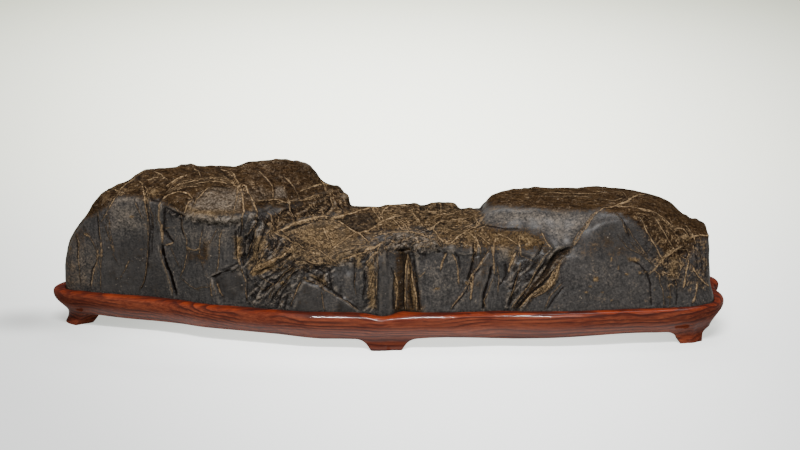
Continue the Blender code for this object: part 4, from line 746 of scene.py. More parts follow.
def close_shell(piece: Piece) -> None:
    """Merge the points that meet, and turn every face outward.

    Args:
        piece: The piece to close.
    """
    shell = bmesh.new()
    shell.from_mesh(piece.data)
    bmesh.ops.remove_doubles(shell, verts=shell.verts, dist=SAME_POINT * MM)
    bmesh.ops.recalc_face_normals(shell, faces=shell.faces)
    shell.to_mesh(piece.data)
    shell.free()


def add_attribute(piece: Piece, name: str, values: Array) -> None:
    """Give each point of the piece's mesh a number that its material reads."""
    attribute = piece.data.attributes.new(name, "FLOAT", "POINT")
    attribute.data.foreach_set("value", np.ascontiguousarray(values, dtype=np.float32))


@dataclass
class Lines:
    """Distances from every point of a drawing plane to lines drawn on it."""

    a: Array
    b: Array

    def near(self, points: Points, reach: float) -> Array:
        """Points near a line.

        Args:
            points: The line's points.
            reach: How far outside the line's box to look.

        Returns:
            The numbers of the points found.
        """
        drawn = np.asarray(points, float)
        low, high = drawn.min(0) - reach, drawn.max(0) + reach
        return np.flatnonzero((self.a > low[0]) & (self.a < high[0])
                              & (self.b > low[1]) & (self.b < high[1]))

    def measure(self, points: Points, reach: float) -> tuple[Array, Array, Array, Array]:
        """Measure the points near a broken line.

        Args:
            points: The line's points.
            reach: How far from the line's box to look.

        Returns:
            The numbers of the points looked at, their distance to the line, the side that they are on
            (1 on its left hand, -1 on its right), and how far along its run they are, from 0 to 1.
        """
        found = self.near(points, reach)
        a, b = self.a[found], self.b[found]
        drawn = np.asarray(points, float)
        lengths = np.hypot(*np.diff(drawn, axis=0).T)
        nearest = np.full(a.shape, FAR)
        side = np.ones(a.shape)
        share = np.zeros(a.shape)
        done = 0.0
        for (a0, b0), (a1, b1), length in zip(drawn[:-1], drawn[1:], lengths):
            da, db = (a1 - a0) / length, (b1 - b0) / length
            along = np.clip((a - a0) * da + (b - b0) * db, 0.0, length)
            gap = np.hypot(a - a0 - along * da, b - b0 - along * db)
            closer = gap < nearest
            nearest = np.where(closer, gap, nearest)
            side = np.where(closer, np.where(da * (b - b0) - db * (a - a0) < 0, -1.0, 1.0), side)
            share = np.where(closer, (done + along) / lengths.sum(), share)
            done += length
        return found, nearest, side, share

    def inside(self, outline: Points, soft: float) -> tuple[Array, Array]:
        """Points inside a closed outline.

        Args:
            outline: The outline's corners.
            soft: Width of the ramp at its edge, half inside and half outside.

        Returns:
            The numbers of the points looked at, and for each a share from 0 outside to 1 inside.
        """
        closed = list(outline) + [outline[0]]
        found, gap, _, _ = self.measure(closed, soft)
        a, b = self.a[found], self.b[found]
        within = np.zeros(a.shape, bool)
        for (a0, b0), (a1, b1) in zip(closed[:-1], closed[1:]):
            if b0 != b1:
                crosses = (b0 > b) != (b1 > b)
                within ^= crosses & (a < a0 + (b - b0) / (b1 - b0) * (a1 - a0))
        return found, smooth_step(-soft / 2, soft / 2, np.where(within, gap, -gap))


def mirrored(lines: list) -> list:
    """The same lines with their ends changed over: the back repeats the front's fine lines."""
    return [(half, push, *((-a, b) for a, b in points)) for half, push, *points in lines]


def tapered(share: Array, end: float = 0.12) -> Array:
    """1 along a line, falling to 0 at its two ends."""
    return smooth_step(0.0, end, share) * smooth_step(0.0, end, 1.0 - share)


@dataclass
class Relief:
    """Everything that is carved or raised on one drawing plane."""

    grooves: list
    veins: list
    ledges: list
    hollows: list
    lumps: list
    groove_end: float = 0.06  # share of its run over which a groove runs out
    ledge_edge: Pair = (-0.8, 1.2)  # the drop starts and ends this far over the line
    ledge_full: float = 0.2  # share of its reach with the full drop
    crisp: float = 0.01
    cut_reach: float = 4.0  # times the half width of a groove or vein
    vein_skirt: float = 0.5  # a vein is this much wider where it rises
    stripe_reach: float = 3.5
    stripe_fade: Pair = (1.8, 3.4)
    # half width of the painted shade line at the bottom of each groove
    cleft_half: float = 0.28
    cleft_widening: float = 0.3  # more half width for each millimetre of depth
    crack_reach: float = 3.0
    crack_width: float = 0.75  # times the groove's half width
    full_crack: float = 1.6  # depth from which a crack counts fully

    def push(self, lines: Lines) -> Array:
        """Carve everything.

        Args:
            lines: The drawing plane.

        Returns:
            How far each point is pushed out (positive) or in (negative), in millimetres.
        """
        push = np.zeros(lines.a.shape)
        for drop, reach, *points in self.ledges:
            found, gap, side, share = lines.measure(points, reach)
            fading = 1 - smooth_step(self.ledge_full * reach, reach, gap)
            push[found] -= drop * smooth_step(*self.ledge_edge, -gap * side) * fading * tapered(share)
        for depth, slope, *outline in self.hollows:
            found, inside = lines.inside(outline, self.crisp)
            _, gap, _, _ = lines.measure([*outline, outline[0]], self.crisp)
            push[found] -= depth * smooth_step(0.0, slope, gap * inside)
        for lump_a, lump_b, length, height, rise in self.lumps:
            away = ((lines.a - lump_a) / length) ** 2 + ((lines.b - lump_b) / height) ** 2
            push += rise * np.clip(1 - away, 0.0, 1.0) ** 1.5
        for width, depth, *points in self.grooves:
            found, gap, _, share = lines.measure(points, self.cut_reach * width)
            push[found] -= depth * np.exp(-(gap / width) ** 2) * tapered(share, self.groove_end)
        for width, height, *points in self.veins:
            found, gap, _, share = lines.measure(points, self.cut_reach * width)
            push[found] += height * np.exp(-(gap / (width + self.vein_skirt)) ** 2) * tapered(share)
        return push

    def stripes(self, lines: Lines, drawn: list) -> tuple[Array, Array]:
        """Distance across the nearest drawn line, for a thin stripe along each.

        Args:
            lines: The drawing plane.
            drawn: The lines, each with its half width and points.

        Returns:
            The signed distance in millimetres, and the stripe's half width there, 0 away from any.
        """
        gaps = np.full(lines.a.shape, 12.0)
        halves = np.zeros(lines.a.shape)
        for width, _, *points in drawn:
            found, gap, side, share = lines.measure(points, self.stripe_reach)
            closer = gap < np.abs(gaps[found])
            chosen = found[closer]
            gaps[chosen] = (gap * side)[closer]
            fading = 1 - smooth_step(*self.stripe_fade, gap)
            halves[chosen] = (width * tapered(share, 0.1) * fading)[closer]
        return gaps, halves

    def cleft_shades(self) -> list:
        """The painted shade line at the bottom of each groove, with its half width."""
        return [(self.cleft_half + self.cleft_widening * depth, depth, *points)
                for _, depth, *points in self.grooves]

    def groove_shades(self, lines: Lines) -> Array:
        """Find the grooves, for the painted shade inside them.

        Args:
            lines: The drawing plane.

        Returns:
            How deep in a groove each point lies, from 0 to 1; the finish paints it as shade.
        """
        deepest = np.zeros(lines.a.shape)
        for width, depth, *points in self.grooves:
            found, gap, _, share = lines.measure(points, self.crack_reach * width)
            inside = np.exp(-(gap / (self.crack_width * width)) ** 2) * min(1.0, depth / self.full_crack)
            deepest[found] = np.maximum(deepest[found], inside * tapered(share, self.groove_end))
        return deepest


@dataclass
class ViewingStone:
    """The stone: its long lines, its relief and its skin."""

    stations: int = 438
    around: int = 222
    spine_y: float = 22.0
    left_rounding: Pair = (24.0, 3.6)
    right_rounding: Pair = (11.0, 5.0)
    right_flare: tuple = (2.4, 13.0, 12.0)  # outward, height, length
    tilt: float = math.radians(13.0)
    crest_blend: float = 4.0
    section_points: int = 300
    section_rounding: int = 72
    front_run: float = 0.62  # share of a section's run that is front and top
    front_points: float = 0.73  # share of its points that lie there
    fold_slant: float = math.radians(48.0)
    fold_stretch: float = 2.4
    front: Relief = field(default_factory=lambda: Relief(
        FRONT_GROOVES, GOLD_VEINS, FRONT_LEDGES, FRONT_HOLLOWS, FRONT_LUMPS))
    back: Relief = field(default_factory=lambda: Relief(
        BACK_GROOVES + mirrored(FRONT_GROOVES), BACK_VEINS + mirrored(GOLD_VEINS), BACK_LEDGES,
        BACK_HOLLOWS, BACK_LUMPS))
    waves: tuple = ((1.1, 30.0, 1), (0.6, 11.0, 2), (0.16, 4.0, 5))  # height, size and seed
    folds: tuple[float, int] = (9.0, 3)  # size and seed
    fine_folds: tuple[float, int] = (3.6, 6)
    rough_edge: float = 6.0
    rough_height: float = 0.7
    rough_level: float = 0.4  # folds above this rise, the others sink
    back_folds: tuple[float, int] = (27.0, 4)
    back_heights: tuple = (3.0, 1.2, 0.4)  # broad, middle and fine folds
    back_plain: float = 18.0  # height above the lip over which the broad folds grow
    back_growing: Pair = (30.0, 60.0)  # the same for the finer ones
    skin_softness: float = 1.8
    fleck: Pair = (1.1, 0.7)  # size and strength
    back_top: Pair = (0.35, 0.75)  # upward part of the normal
    back_veined: Pair = (0.35, 0.5)  # everywhere, and more on top
    hollows: tuple = (("hollow", 2, 0.7), ("wide_hollow", 7, 3.0))  # steps away, full depth
    carved: Array | None = None

    def end_opening(self, x: Array) -> Array:
        """How far the section is open: 0 at the two ends of the stone, 1 along its middle."""
        left_length, left_power = self.left_rounding
        right_length, right_power = self.right_rounding
        left = np.clip((x - STONE_LEFT) / left_length, 0.0, 1.0)
        right = np.clip((STONE_RIGHT - x) / right_length, 0.0, 1.0)
        return ((1 - (1 - left) ** left_power) ** (1 / left_power)
                * (1 - (1 - right) ** right_power) ** (1 / right_power))

    def squeezed(self, y: Array, x: Array) -> Array:
        """Y drawn in towards the closing line near the ends."""
        return self.spine_y + (y - self.spine_y) * self.end_opening(x)

    def places(self) -> Array:
        """X of each section, evenly spaced along the front foot's outline."""
        turn = np.linspace(0.0, math.pi, 6001)
        x = STONE_LEFT + (STONE_RIGHT - STONE_LEFT) * (1 - np.cos(turn)) / 2
        run = run_length(np.column_stack([x, self.squeezed(line_at(FOOT, x)[0], x)]))
        return np.interp(np.linspace(0.0, run[-1], self.stations), run, x)

    def section(self, corners: Array) -> Array:
        """One section: the corners joined, softened and given more points on the front.

        Args:
            corners: Y and Z of each long line.

        Returns:
            Y and Z of the section's points, from front foot to back foot.
        """
        run = run_length(corners)
        points = resampled(corners, run, np.linspace(0.0, run[-1], self.section_points))
        for _ in range(self.section_rounding):
            points[1:-1] = points[1:-1] / 2 + (points[:-2] + points[2:]) / 4
        run = run_length(points)
        shares = np.interp(np.linspace(0.0, 1.0, self.around), [0.0, self.front_points, 1.0],
                           [0.0, self.front_run, 1.0])
        return resampled(points, run, shares * run[-1])

    def plain_grid(self) -> Array:
        """Grid of the stone before it is carved: stations by points around by x, y, z."""
        x = self.places()
        lines = [line_at(line, x) for line in LONG_LINES]
        rows = []
        for i, place in enumerate(x):
            corners = np.array([(self.squeezed(y[i], place), z[i]) for y, z in lines])
            rows.append(np.column_stack([np.full(self.around, place), self.section(corners)]))
        return np.array(rows)

    def folded(self, points: Array, size: float, seed: int) -> Array:
        """Ridged noise, drawn out along the slanting folds of the stone.

        Args:
            points: Where to read it.
            size: Width of the folds, in millimetres.
            seed: Which noise.

        Returns:
            A number from -1 to 1 for each point, 1 along the ridges.
        """
        cosine, sine = math.cos(self.fold_slant), math.sin(self.fold_slant)
        x, y, z = points.T
        turned = np.column_stack([(x * cosine + z * sine) / self.fold_stretch, y, z * cosine - x * sine])
        return 1 - 2 * np.abs(lumpy(turned, size, seed))

    def rough_ground(self, ahead: Lines) -> Array:
        """How far each point of the front plane is broken up, in millimetres."""
        rough = np.zeros(ahead.a.shape)
        for rise, *outline in FRONT_ROUGH:
            found, share = ahead.inside(outline, self.rough_edge)
            rough[found] = np.maximum(rough[found], share * rise)
        return rough

    def folding(self, points: Array, rough: Array, back: Array) -> Array:
        """Fold the rough ground and the back.

        Args:
            points: The points.
            rough: How rough the ground is at each.
            back: How much each belongs to the back.

        Returns:
            How far each point is pushed out, in millimetres.
        """
        z = points[:, 2]
        folds, fine_folds = self.folded(points, *self.folds), self.folded(points, *self.fine_folds)
        high, level = self.rough_height, self.rough_level
        broad, middle, fine = self.back_heights
        grown = smooth_step(RIM_Z, RIM_Z + self.back_plain, z)
        push = rough * (high * (folds - level) + high * (fine_folds - level))
        push += back * broad * (self.folded(points, *self.back_folds) - 0.5) * grown
        finer = middle * (folds - 0.5) + fine * (fine_folds - 0.5)
        return push + back * finer * smooth_step(*self.back_growing, z)

    def settled(self, carved: Array) -> Array:
        """Keep the stone above the lip, set its foot on it and flare its right end.

        Args:
            carved: The carved grid.

        Returns:
            The same grid, moved.
        """
        carved[:, (0, -1), 2] = RIM_Z
        carved[:, 1:-1, 2] = np.maximum(carved[:, 1:-1, 2], RIM_Z + 0.2)
        outward, height, length = self.right_flare
        low = 1 - smooth_step(0.0, height, carved[..., 2] - RIM_Z)
        near_end = smooth_step(STONE_RIGHT - length, STONE_RIGHT, carved[..., 0])
        carved[..., 0] += outward * low * near_end
        return carved

    def carve(self) -> dict[str, Array]:
        """Carve the grid and paint its skin.

        Returns:
            The skin's attributes, each a grid of numbers.
        """
        grid = self.plain_grid()
        normal = grid_normals(grid)
        points = grid.reshape(-1, 3)
        x, y, z = points.T
        crest_y = self.squeezed(line_at(CREST, x)[0], x)
        front = 1 - smooth_step(-self.crest_blend, self.crest_blend, y - crest_y)
        back = 1 - front
        ahead = Lines(x, z * math.cos(self.tilt) + y * math.sin(self.tilt))
        behind = Lines(x, z * math.cos(self.tilt) - y * math.sin(self.tilt))
        push = front * self.front.push(ahead) + back * self.back.push(behind)
        push += sum(height * lumpy(points, size, seed) for height, size, seed in self.waves)
        rough = self.rough_ground(ahead) * front
        push += self.folding(points, rough, back)
        shape = grid.shape[:2]
        ends = np.minimum(np.arange(self.stations), np.arange(self.stations)[::-1])
        push = push.reshape(shape) * smooth_step(0.0, 3.0, ends)[:, None]
        self.carved = self.settled(grid + push[..., None] * normal)
        skin = self.skin(ahead, behind, front, normal.reshape(-1, 3)[:, 2])
        skin["rough"] = rough / 2.0
        return {name: values.reshape(shape) for name, values in skin.items()}

    def skin(self, ahead: Lines, behind: Lines, front: Array,
             facing_up: Array) -> dict[str, Array]:
        """Paint the tones, flecks and veins, and the painted shade along the grooves.

        Args:
            ahead: The front drawing plane.
            behind: The back drawing plane.
            front: How much each point belongs to the front.
            facing_up: The upward part of each point's plain normal.

        Returns:
            The attributes, each one number for every point.
        """
        skin = {tone.value: np.zeros(front.shape) for tone in Tone}
        for tone, areas in FRONT_SKIN.items():
            painted = skin[tone.value]
            for strength, soft, *outline in areas:
                found, share = ahead.inside(outline, soft * self.skin_softness)
                painted[found] = np.maximum(painted[found], share * strength)
            painted *= front
        size, most = self.fleck
        for a, b, length, height in FLECKS:
            away = ((ahead.a - a) / length) ** 2 + ((ahead.b - b) / height) ** 2
            skin["tan"] = np.maximum(skin["tan"], front * np.clip(size - away, 0.0, most))
        up = smooth_step(*self.back_top, facing_up)
        everywhere, on_top = self.back_veined
        skin["brown"] = np.maximum(skin["brown"], (1 - front) * up)
        skin["veined"] = np.maximum(skin["veined"], (1 - front) * (everywhere + on_top * up))
        is_front = front > 0.5
        for name, ahead_lines, behind_lines in (("vein", self.front.veins, self.back.veins),
                                                ("cleft", self.front.cleft_shades(), self.back.cleft_shades())):
            ahead_gap, ahead_half = self.front.stripes(ahead, ahead_lines)
            behind_gap, behind_half = self.back.stripes(behind, behind_lines)
            skin[name + "_gap"] = np.where(is_front, ahead_gap, behind_gap)
            skin[name + "_half"] = np.where(is_front, ahead_half, behind_half)
        skin["groove_shade"] = np.where(is_front, self.front.groove_shades(ahead), self.back.groove_shades(behind))
        return skin

    def hollowness(self, step: int) -> Array:
        """How far each point lies below the points around it, in millimetres, negative on ridges."""
        grid = self.carved
        padded = np.pad(grid, ((step, step), (step, step), (0, 0)), mode="edge")
        rows, columns = grid.shape[:2]
        around = sum(padded[step + i * step:step + i * step + rows, step + j * step:step + j * step + columns]
                     for i, j in ((-1, 0), (1, 0), (0, -1), (0, 1)))
        return ((around / 4 - grid) * grid_normals(grid)).sum(axis=2)

    def build(self) -> Piece:
        """Make the stone's mesh with its attributes."""
        skin = self.carve()
        # how far each point lies below its neighbours; the finish paints shade in these hollows and highlight
        # on the ridges
        for name, step, full_depth in self.hollows:
            skin[name] = np.clip(self.hollowness(step) / full_depth, -1.0, 1.0)
        carved = self.carved
        bottom = carved[:, (0, -1), :].copy()
        bottom[..., 2] = STONE_BOTTOM
        rows = np.concatenate([bottom[:, :1], carved, bottom[:, 1:]], axis=1)
        count, wide = rows.shape[:2]
        faces = []
        for i in range(count - 1):
            here, there = i * wide, (i + 1) * wide
            for j in range(wide):
                after = (j + 1) % wide
                faces.append((here + j, there + j, there + after, here + after))
        piece = new_piece("viewing_stone", rows.reshape(-1, 3), faces, 180.0)
        for name, values in skin.items():
            values = np.concatenate([values[:, :1], values, values[:, -1:]], axis=1)
            add_attribute(piece, name, values.ravel())
        close_shell(piece)
        return piece


# ---- the stand: its outer outline seen from above
RIM_OUTLINE = [
    (-257.5, 22), (-255, 11), (-248, 2.5), (-237, -3.5), (-216, -9.5), (-196, -15.5), (-176, -21),
    (-154, -30), (-136, -39.5), (-106, -48.5), (-77, -57), (-56, -62), (-34, -63.5), (-18, -65), (-7, -66),
    (4, -64.5), (18, -64), (45, -63.5), (64, -61.5), (82, -60), (103, -61), (125, -61), (155, -57.5),
    (178, -53.5), (200, -51.5), (222, -47), (238, -38), (247, -26), (252, -12), (253, 2), (250.5, 12),
    (250, 18), (252, 25), (256, 32), (257.5, 42), (255, 53), (245, 62), (228, 65), (205, 66), (160, 66),
    (110, 66), (60, 64.5), (30, 61.5), (0, 60.5), (-30, 63), (-70, 66), (-110, 65.5), (-150, 64.5),
    (-190, 61.5), (-215, 57.5), (-235, 50.5), (-247, 41.5), (-254.5, 32),
]
# how far the wall's lower edge hangs below the tray's underside, along x
SKIRT = [
    (-250, 0.4), (-230, 0.6), (-180, 1.2), (-140, 0.6), (-80, 0.9), (-64, 1.8), (-48, 2.7), (-20, 2.4),
    (20, 2.4), (31, 1.6), (43, 1.3), (55, 1.8), (79, 3.2), (91, 3.4), (115, 2.8), (139, 2.1), (163, 1.2),
    (190, 1.0), (206, 1.4), (240, 1.0),
]
# each foot: a point on the outline near its middle, and half its length
FEET = [
    (-252, 7.5, 9.5), (-1, -65, 11.5), (225.5, -45.5, 10.5), (214, 66, 11), (22, 61, 11), (-172, 63, 11),
]


@dataclass
class CarvedStand:
    """The stand: a tray with a rounded lip, a wall that draws in below it, and six small feet."""

    samples: int = 1000
    spine: Points = field(default_factory=lambda: [(-212.0, 24.0), (212.0, 10.0)])
    foot_fillet: float = 12.5
    foot_depth: float = 15.0
    foot_heel: float = 4.0
    toe_flare: float = 3.2
    toe_height: float = 6.0
    toe_ridge: float = 0.4
    ridged_foot: Pair = (-1, -65)
    recess_gap: float = 0.4
    rim_edge_z: float = 24.4
    lip_height: float = 3.95
    lip_inner_z: float = 27.4
    wall_taper: float = 8.0
    wall_depth: float = 17.0
    end_taper: float = 3.0
    end_taper_from: Pair = (190.0, 245.0)
    right_taper: float = 3.0
    right_taper_from: Pair = (222.0, 250.0)
    thinnest_wall: float = 1.6
    lower_edge: float = 1.5
    toe_edge: float = 0.6
    taper_rounding: int = 60
    dip_depth: float = 2.2  # how far the lip dips above the middle front foot
    dip_x: float = -3.0
    dip_half: float = 9.0
    dip_from_z: float = 18.0
    fillet_power: float = 2.6
    ridge_half: float = 2.2
    taper_power: float = 1.25
    flare_power: float = 1.5
    ridge_growing: float = 0.6
    lip_shoulder: Pair = (0.97, 0.6)
    lip_power: float = 0.85

    def outline(self) -> tuple[Array, Array, Array]:
        """Points along the outer outline.

        Returns:
            The points, how much each belongs to a foot (0 to 1), and how close each is to a foot's middle.
        """
        corners = np.asarray(RIM_OUTLINE, float)
        t = np.linspace(0.0, 1.0, 40, endpoint=False)[:, None]
        spans = []
        for before, start, end, after in zip(np.roll(corners, 1, 0), corners, np.roll(corners, -1, 0),
                                             np.roll(corners, -2, 0)):
            square = 2 * before - 5 * start + 4 * end - after
            cube = 3 * start - before - 3 * end + after
            spans.append(0.5 * (2 * start + (end - before) * t + square * t ** 2 + cube * t ** 3))
        curve = np.concatenate(spans)
        ring = np.vstack([curve, curve[:1]])
        run = run_length(ring)
        total = run[-1]
        places = np.linspace(0.0, total, self.samples, endpoint=False)
        points = resampled(ring, run, places)
        footness = np.zeros(self.samples)
        ridge = np.zeros(self.samples)
        for foot_x, foot_y, half in FEET:
            middle = run[np.argmin(np.hypot(curve[:, 0] - foot_x, curve[:, 1] - foot_y))]
            away = np.abs((places - middle + total / 2) % total - total / 2)
            beside = np.clip((away - half) / self.foot_fillet, 0.0, 1.0)
            footness = np.maximum(footness, (1 - beside) ** self.fillet_power)
            if (foot_x, foot_y) == self.ridged_foot:
                ridge = np.exp(-(away / self.ridge_half) ** 2)
        return points, footness, ridge

    def lip_widths(self, points: Array, inward: Array, foot: Array) -> Array:
        """Width of the lip at each point: from the outer outline in to the foot of the stone.

        Args:
            points: Points on the outer outline.
            inward: Inward direction at each of them.
            foot: Closed outline of the stone's foot.

        Returns:
            The widths.
        """
        ends = np.roll(foot, -1, axis=0)
        widths = []
        for point, way in zip(points, inward):
            across = np.array([-way[1], way[0]])
            start_side = (foot - point) @ across
            end_side = (ends - point) @ across
            crossing = start_side * end_side < 0
            share = start_side[crossing] / (start_side[crossing] - end_side[crossing])
            ahead = (foot[crossing] + share[:, None] * (ends[crossing] - foot[crossing]) - point) @ way
            widths.append(ahead[ahead > 0].min())
        return np.array(widths) - self.recess_gap

    def taper(self, points: Array, widths: Array) -> Array:
        """How far the wall draws in, more at the ends but never through the recess.

        Args:
            points: Points on the outer outline.
            widths: Width of the lip at each.

        Returns:
            The distances in millimetres.
        """
        at_ends = smooth_step(*self.end_taper_from, np.abs(points[:, 0]))
        at_right = smooth_step(*self.right_taper_from, points[:, 0])
        beside_recess = smooth_step(0.0, self.wall_depth, self.rim_edge_z - RECESS_Z) ** self.taper_power
        widest = (widths - self.thinnest_wall) / beside_recess
        taper = np.minimum(self.wall_taper + self.end_taper * at_ends + self.right_taper * at_right, widest)
        for _ in range(self.taper_rounding):
            taper = taper / 2 + (np.roll(taper, 1) + np.roll(taper, -1)) / 4
        return np.minimum(taper, widest)

    def rings(self, foot: Array) -> Array:
        """Closed rings from the recess floor over the lip, down the wall and under the feet.

        Args:
            foot: Closed outline of the stone's foot.

        Returns:
            The rings: level by place along the outline by x, y, z.
        """
        points, footness, ridge = self.outline()
        (left_x, left_y), (right_x, right_y) = self.spine
        spine_x = np.clip(points[:, 0], left_x, right_x)
        spine = np.column_stack([spine_x, np.interp(spine_x, (left_x, right_x), (left_y, right_y))])
        inward = spine - points
        inward /= np.linalg.norm(inward, axis=1, keepdims=True)
        widths = self.lip_widths(points, inward, foot)
        skirt_x, skirt = np.asarray(SKIRT, float).T
        low_z = (UNDERSIDE_Z - np.interp(points[:, 0], skirt_x, skirt)) * (1 - footness)
        taper = self.taper(points, widths)

        def ring(inset: Array | float, z: Array | float) -> Array:
            """The outline moved inwards and set at a height."""
            moved = points + inward * np.broadcast_to(inset, len(points))[:, None]
            return np.column_stack([moved, np.broadcast_to(z, len(points))])

        def wall_inset(z: Array) -> Array:
            """How far inside the outline the wall lies at a height; the toes flare out again."""
            drawn_in = taper * smooth_step(0.0, self.wall_depth, self.rim_edge_z - z) ** self.taper_power
            low = np.clip((self.toe_height - z) / self.toe_height, 0.0, 1.0)
            return (drawn_in - self.toe_flare * low ** self.flare_power
                    - self.toe_ridge * ridge * smooth_step(0.0, self.ridge_growing, low))

        narrower, higher = self.lip_shoulder
        found = [ring(widths, RECESS_Z), ring(widths, self.lip_inner_z),
                 ring(widths * narrower, self.lip_inner_z + higher)]
        for turn in np.radians(np.linspace(0.0, 90.0, 11)):
            share = 0.1 + 0.9 * math.sin(turn)
            rounding = self.lip_height * math.cos(turn) ** self.lip_power
            found.append(ring(widths * (1 - share), self.rim_edge_z + rounding))
        edge = self.lower_edge * (1 - footness) + self.toe_edge * footness
        for share in np.linspace(0.0, 1.0, 15)[1:]:
            z = self.rim_edge_z + (low_z + edge - self.rim_edge_z) * share
            found.append(ring(wall_inset(z), z))
        for turn in np.radians((22.0, 45.0, 67.0, 90.0)):
            z = low_z + edge * (1 - math.sin(turn))
            found.append(ring(wall_inset(low_z + edge) + edge * (1 - math.cos(turn)), z))
        toe = wall_inset(low_z)
        found.append(ring(toe + self.foot_depth, low_z))
        found.append(ring(toe + self.foot_depth + self.foot_heel, UNDERSIDE_Z))
        return self.dipped(np.array(found))

    def dipped(self, rings: Array) -> Array:
        """Lower the lip a little above the middle front foot, where the stone bulges."""
        x, y, z = np.moveaxis(rings, 2, 0)
        dip = self.dip_depth * np.exp(-((x - self.dip_x) / self.dip_half) ** 2) * (y < 0)
        share = np.clip((z - self.dip_from_z) / (self.rim_edge_z - self.dip_from_z), 0.0, 1.0)
        return np.stack([x, y, z - dip * share], axis=2)

    def build(self, foot: Array) -> Piece:
        """Make the stand's mesh.

        Args:
            foot: Closed outline of the stone's foot.

        Returns:
            The stand.
        """
        rings = self.rings(foot)
        count, wide = rings.shape[:2]
        faces = [tuple(range(wide))]
        for level in range(count - 1):
            here, there = level * wide, (level + 1) * wide
            for i in range(wide):
                after = (i + 1) % wide
                faces.append((here + i, here + after, there + after, there + i))
        faces.append(tuple((count - 1) * wide + i for i in reversed(range(wide))))
        piece = new_piece("carved_stand", rings.reshape(-1, 3), faces, 40.0)
        close_shell(piece)
        return piece


# ---- finishes
class Value:
    """What flows out of one socket, with ordinary arithmetic."""

    def __init__(self, graph: "Graph", socket: bpy.types.NodeSocket) -> None:
        """Keep the graph and the socket."""
        self.graph = graph
        self.socket = socket

    def __add__(self, other: "Value | float") -> "Value":
        """Sum."""
        return self.graph.math("ADD", self, other)

    __radd__ = __add__

    def __mul__(self, other: "Value | float") -> "Value":
        """Product."""
        return self.graph.math("MULTIPLY", self, other)

    __rmul__ = __mul__

    def __sub__(self, other: "Value | float") -> "Value":
        """Difference."""
        return self.graph.math("SUBTRACT", self, other)

    def __rsub__(self, other: float) -> "Value":
        """Difference from a number."""
        return self.graph.math("SUBTRACT", other, self)

    def __truediv__(self, other: "Value | float") -> "Value":
        """Quotient."""
        return self.graph.math("DIVIDE", self, other)

    def __pow__(self, other: float) -> "Value":
        """Power."""
        return self.graph.math("POWER", self, other)

    def __abs__(self) -> "Value":
        """Size without the sign."""
        return self.graph.math("ABSOLUTE", self)

    def at_most(self, other: "Value | float") -> "Value":
        """The smaller of the two."""
        return self.graph.math("MINIMUM", self, other)

    def at_least(self, other: "Value | float") -> "Value":
        """The larger of the two."""
        return self.graph.math("MAXIMUM", self, other)

    def floor(self) -> "Value":
        """Whole part."""
        return self.graph.math("FLOOR", self)

    def swing(self, weight: "Value | float") -> "Value":
        """Noise around 0.5 made noise around 0, times the weight."""
        return (self - 0.5) * weight

    def rising(self, low: float, high: float) -> "Value":
        """0 at low and under, 1 at high and over, with a soft ramp between."""
        node = self.graph.node("ShaderNodeMapRange", {"interpolation_type": "SMOOTHSTEP"},
                               {"Value": self, "From Min": low, "From Max": high})
        return Value(self.graph, node.outputs[0])

    def falling(self, low: float, high: float) -> "Value":
        """1 at low and under, 0 at high and over, with a soft ramp between."""
        return 1 - self.rising(low, high)


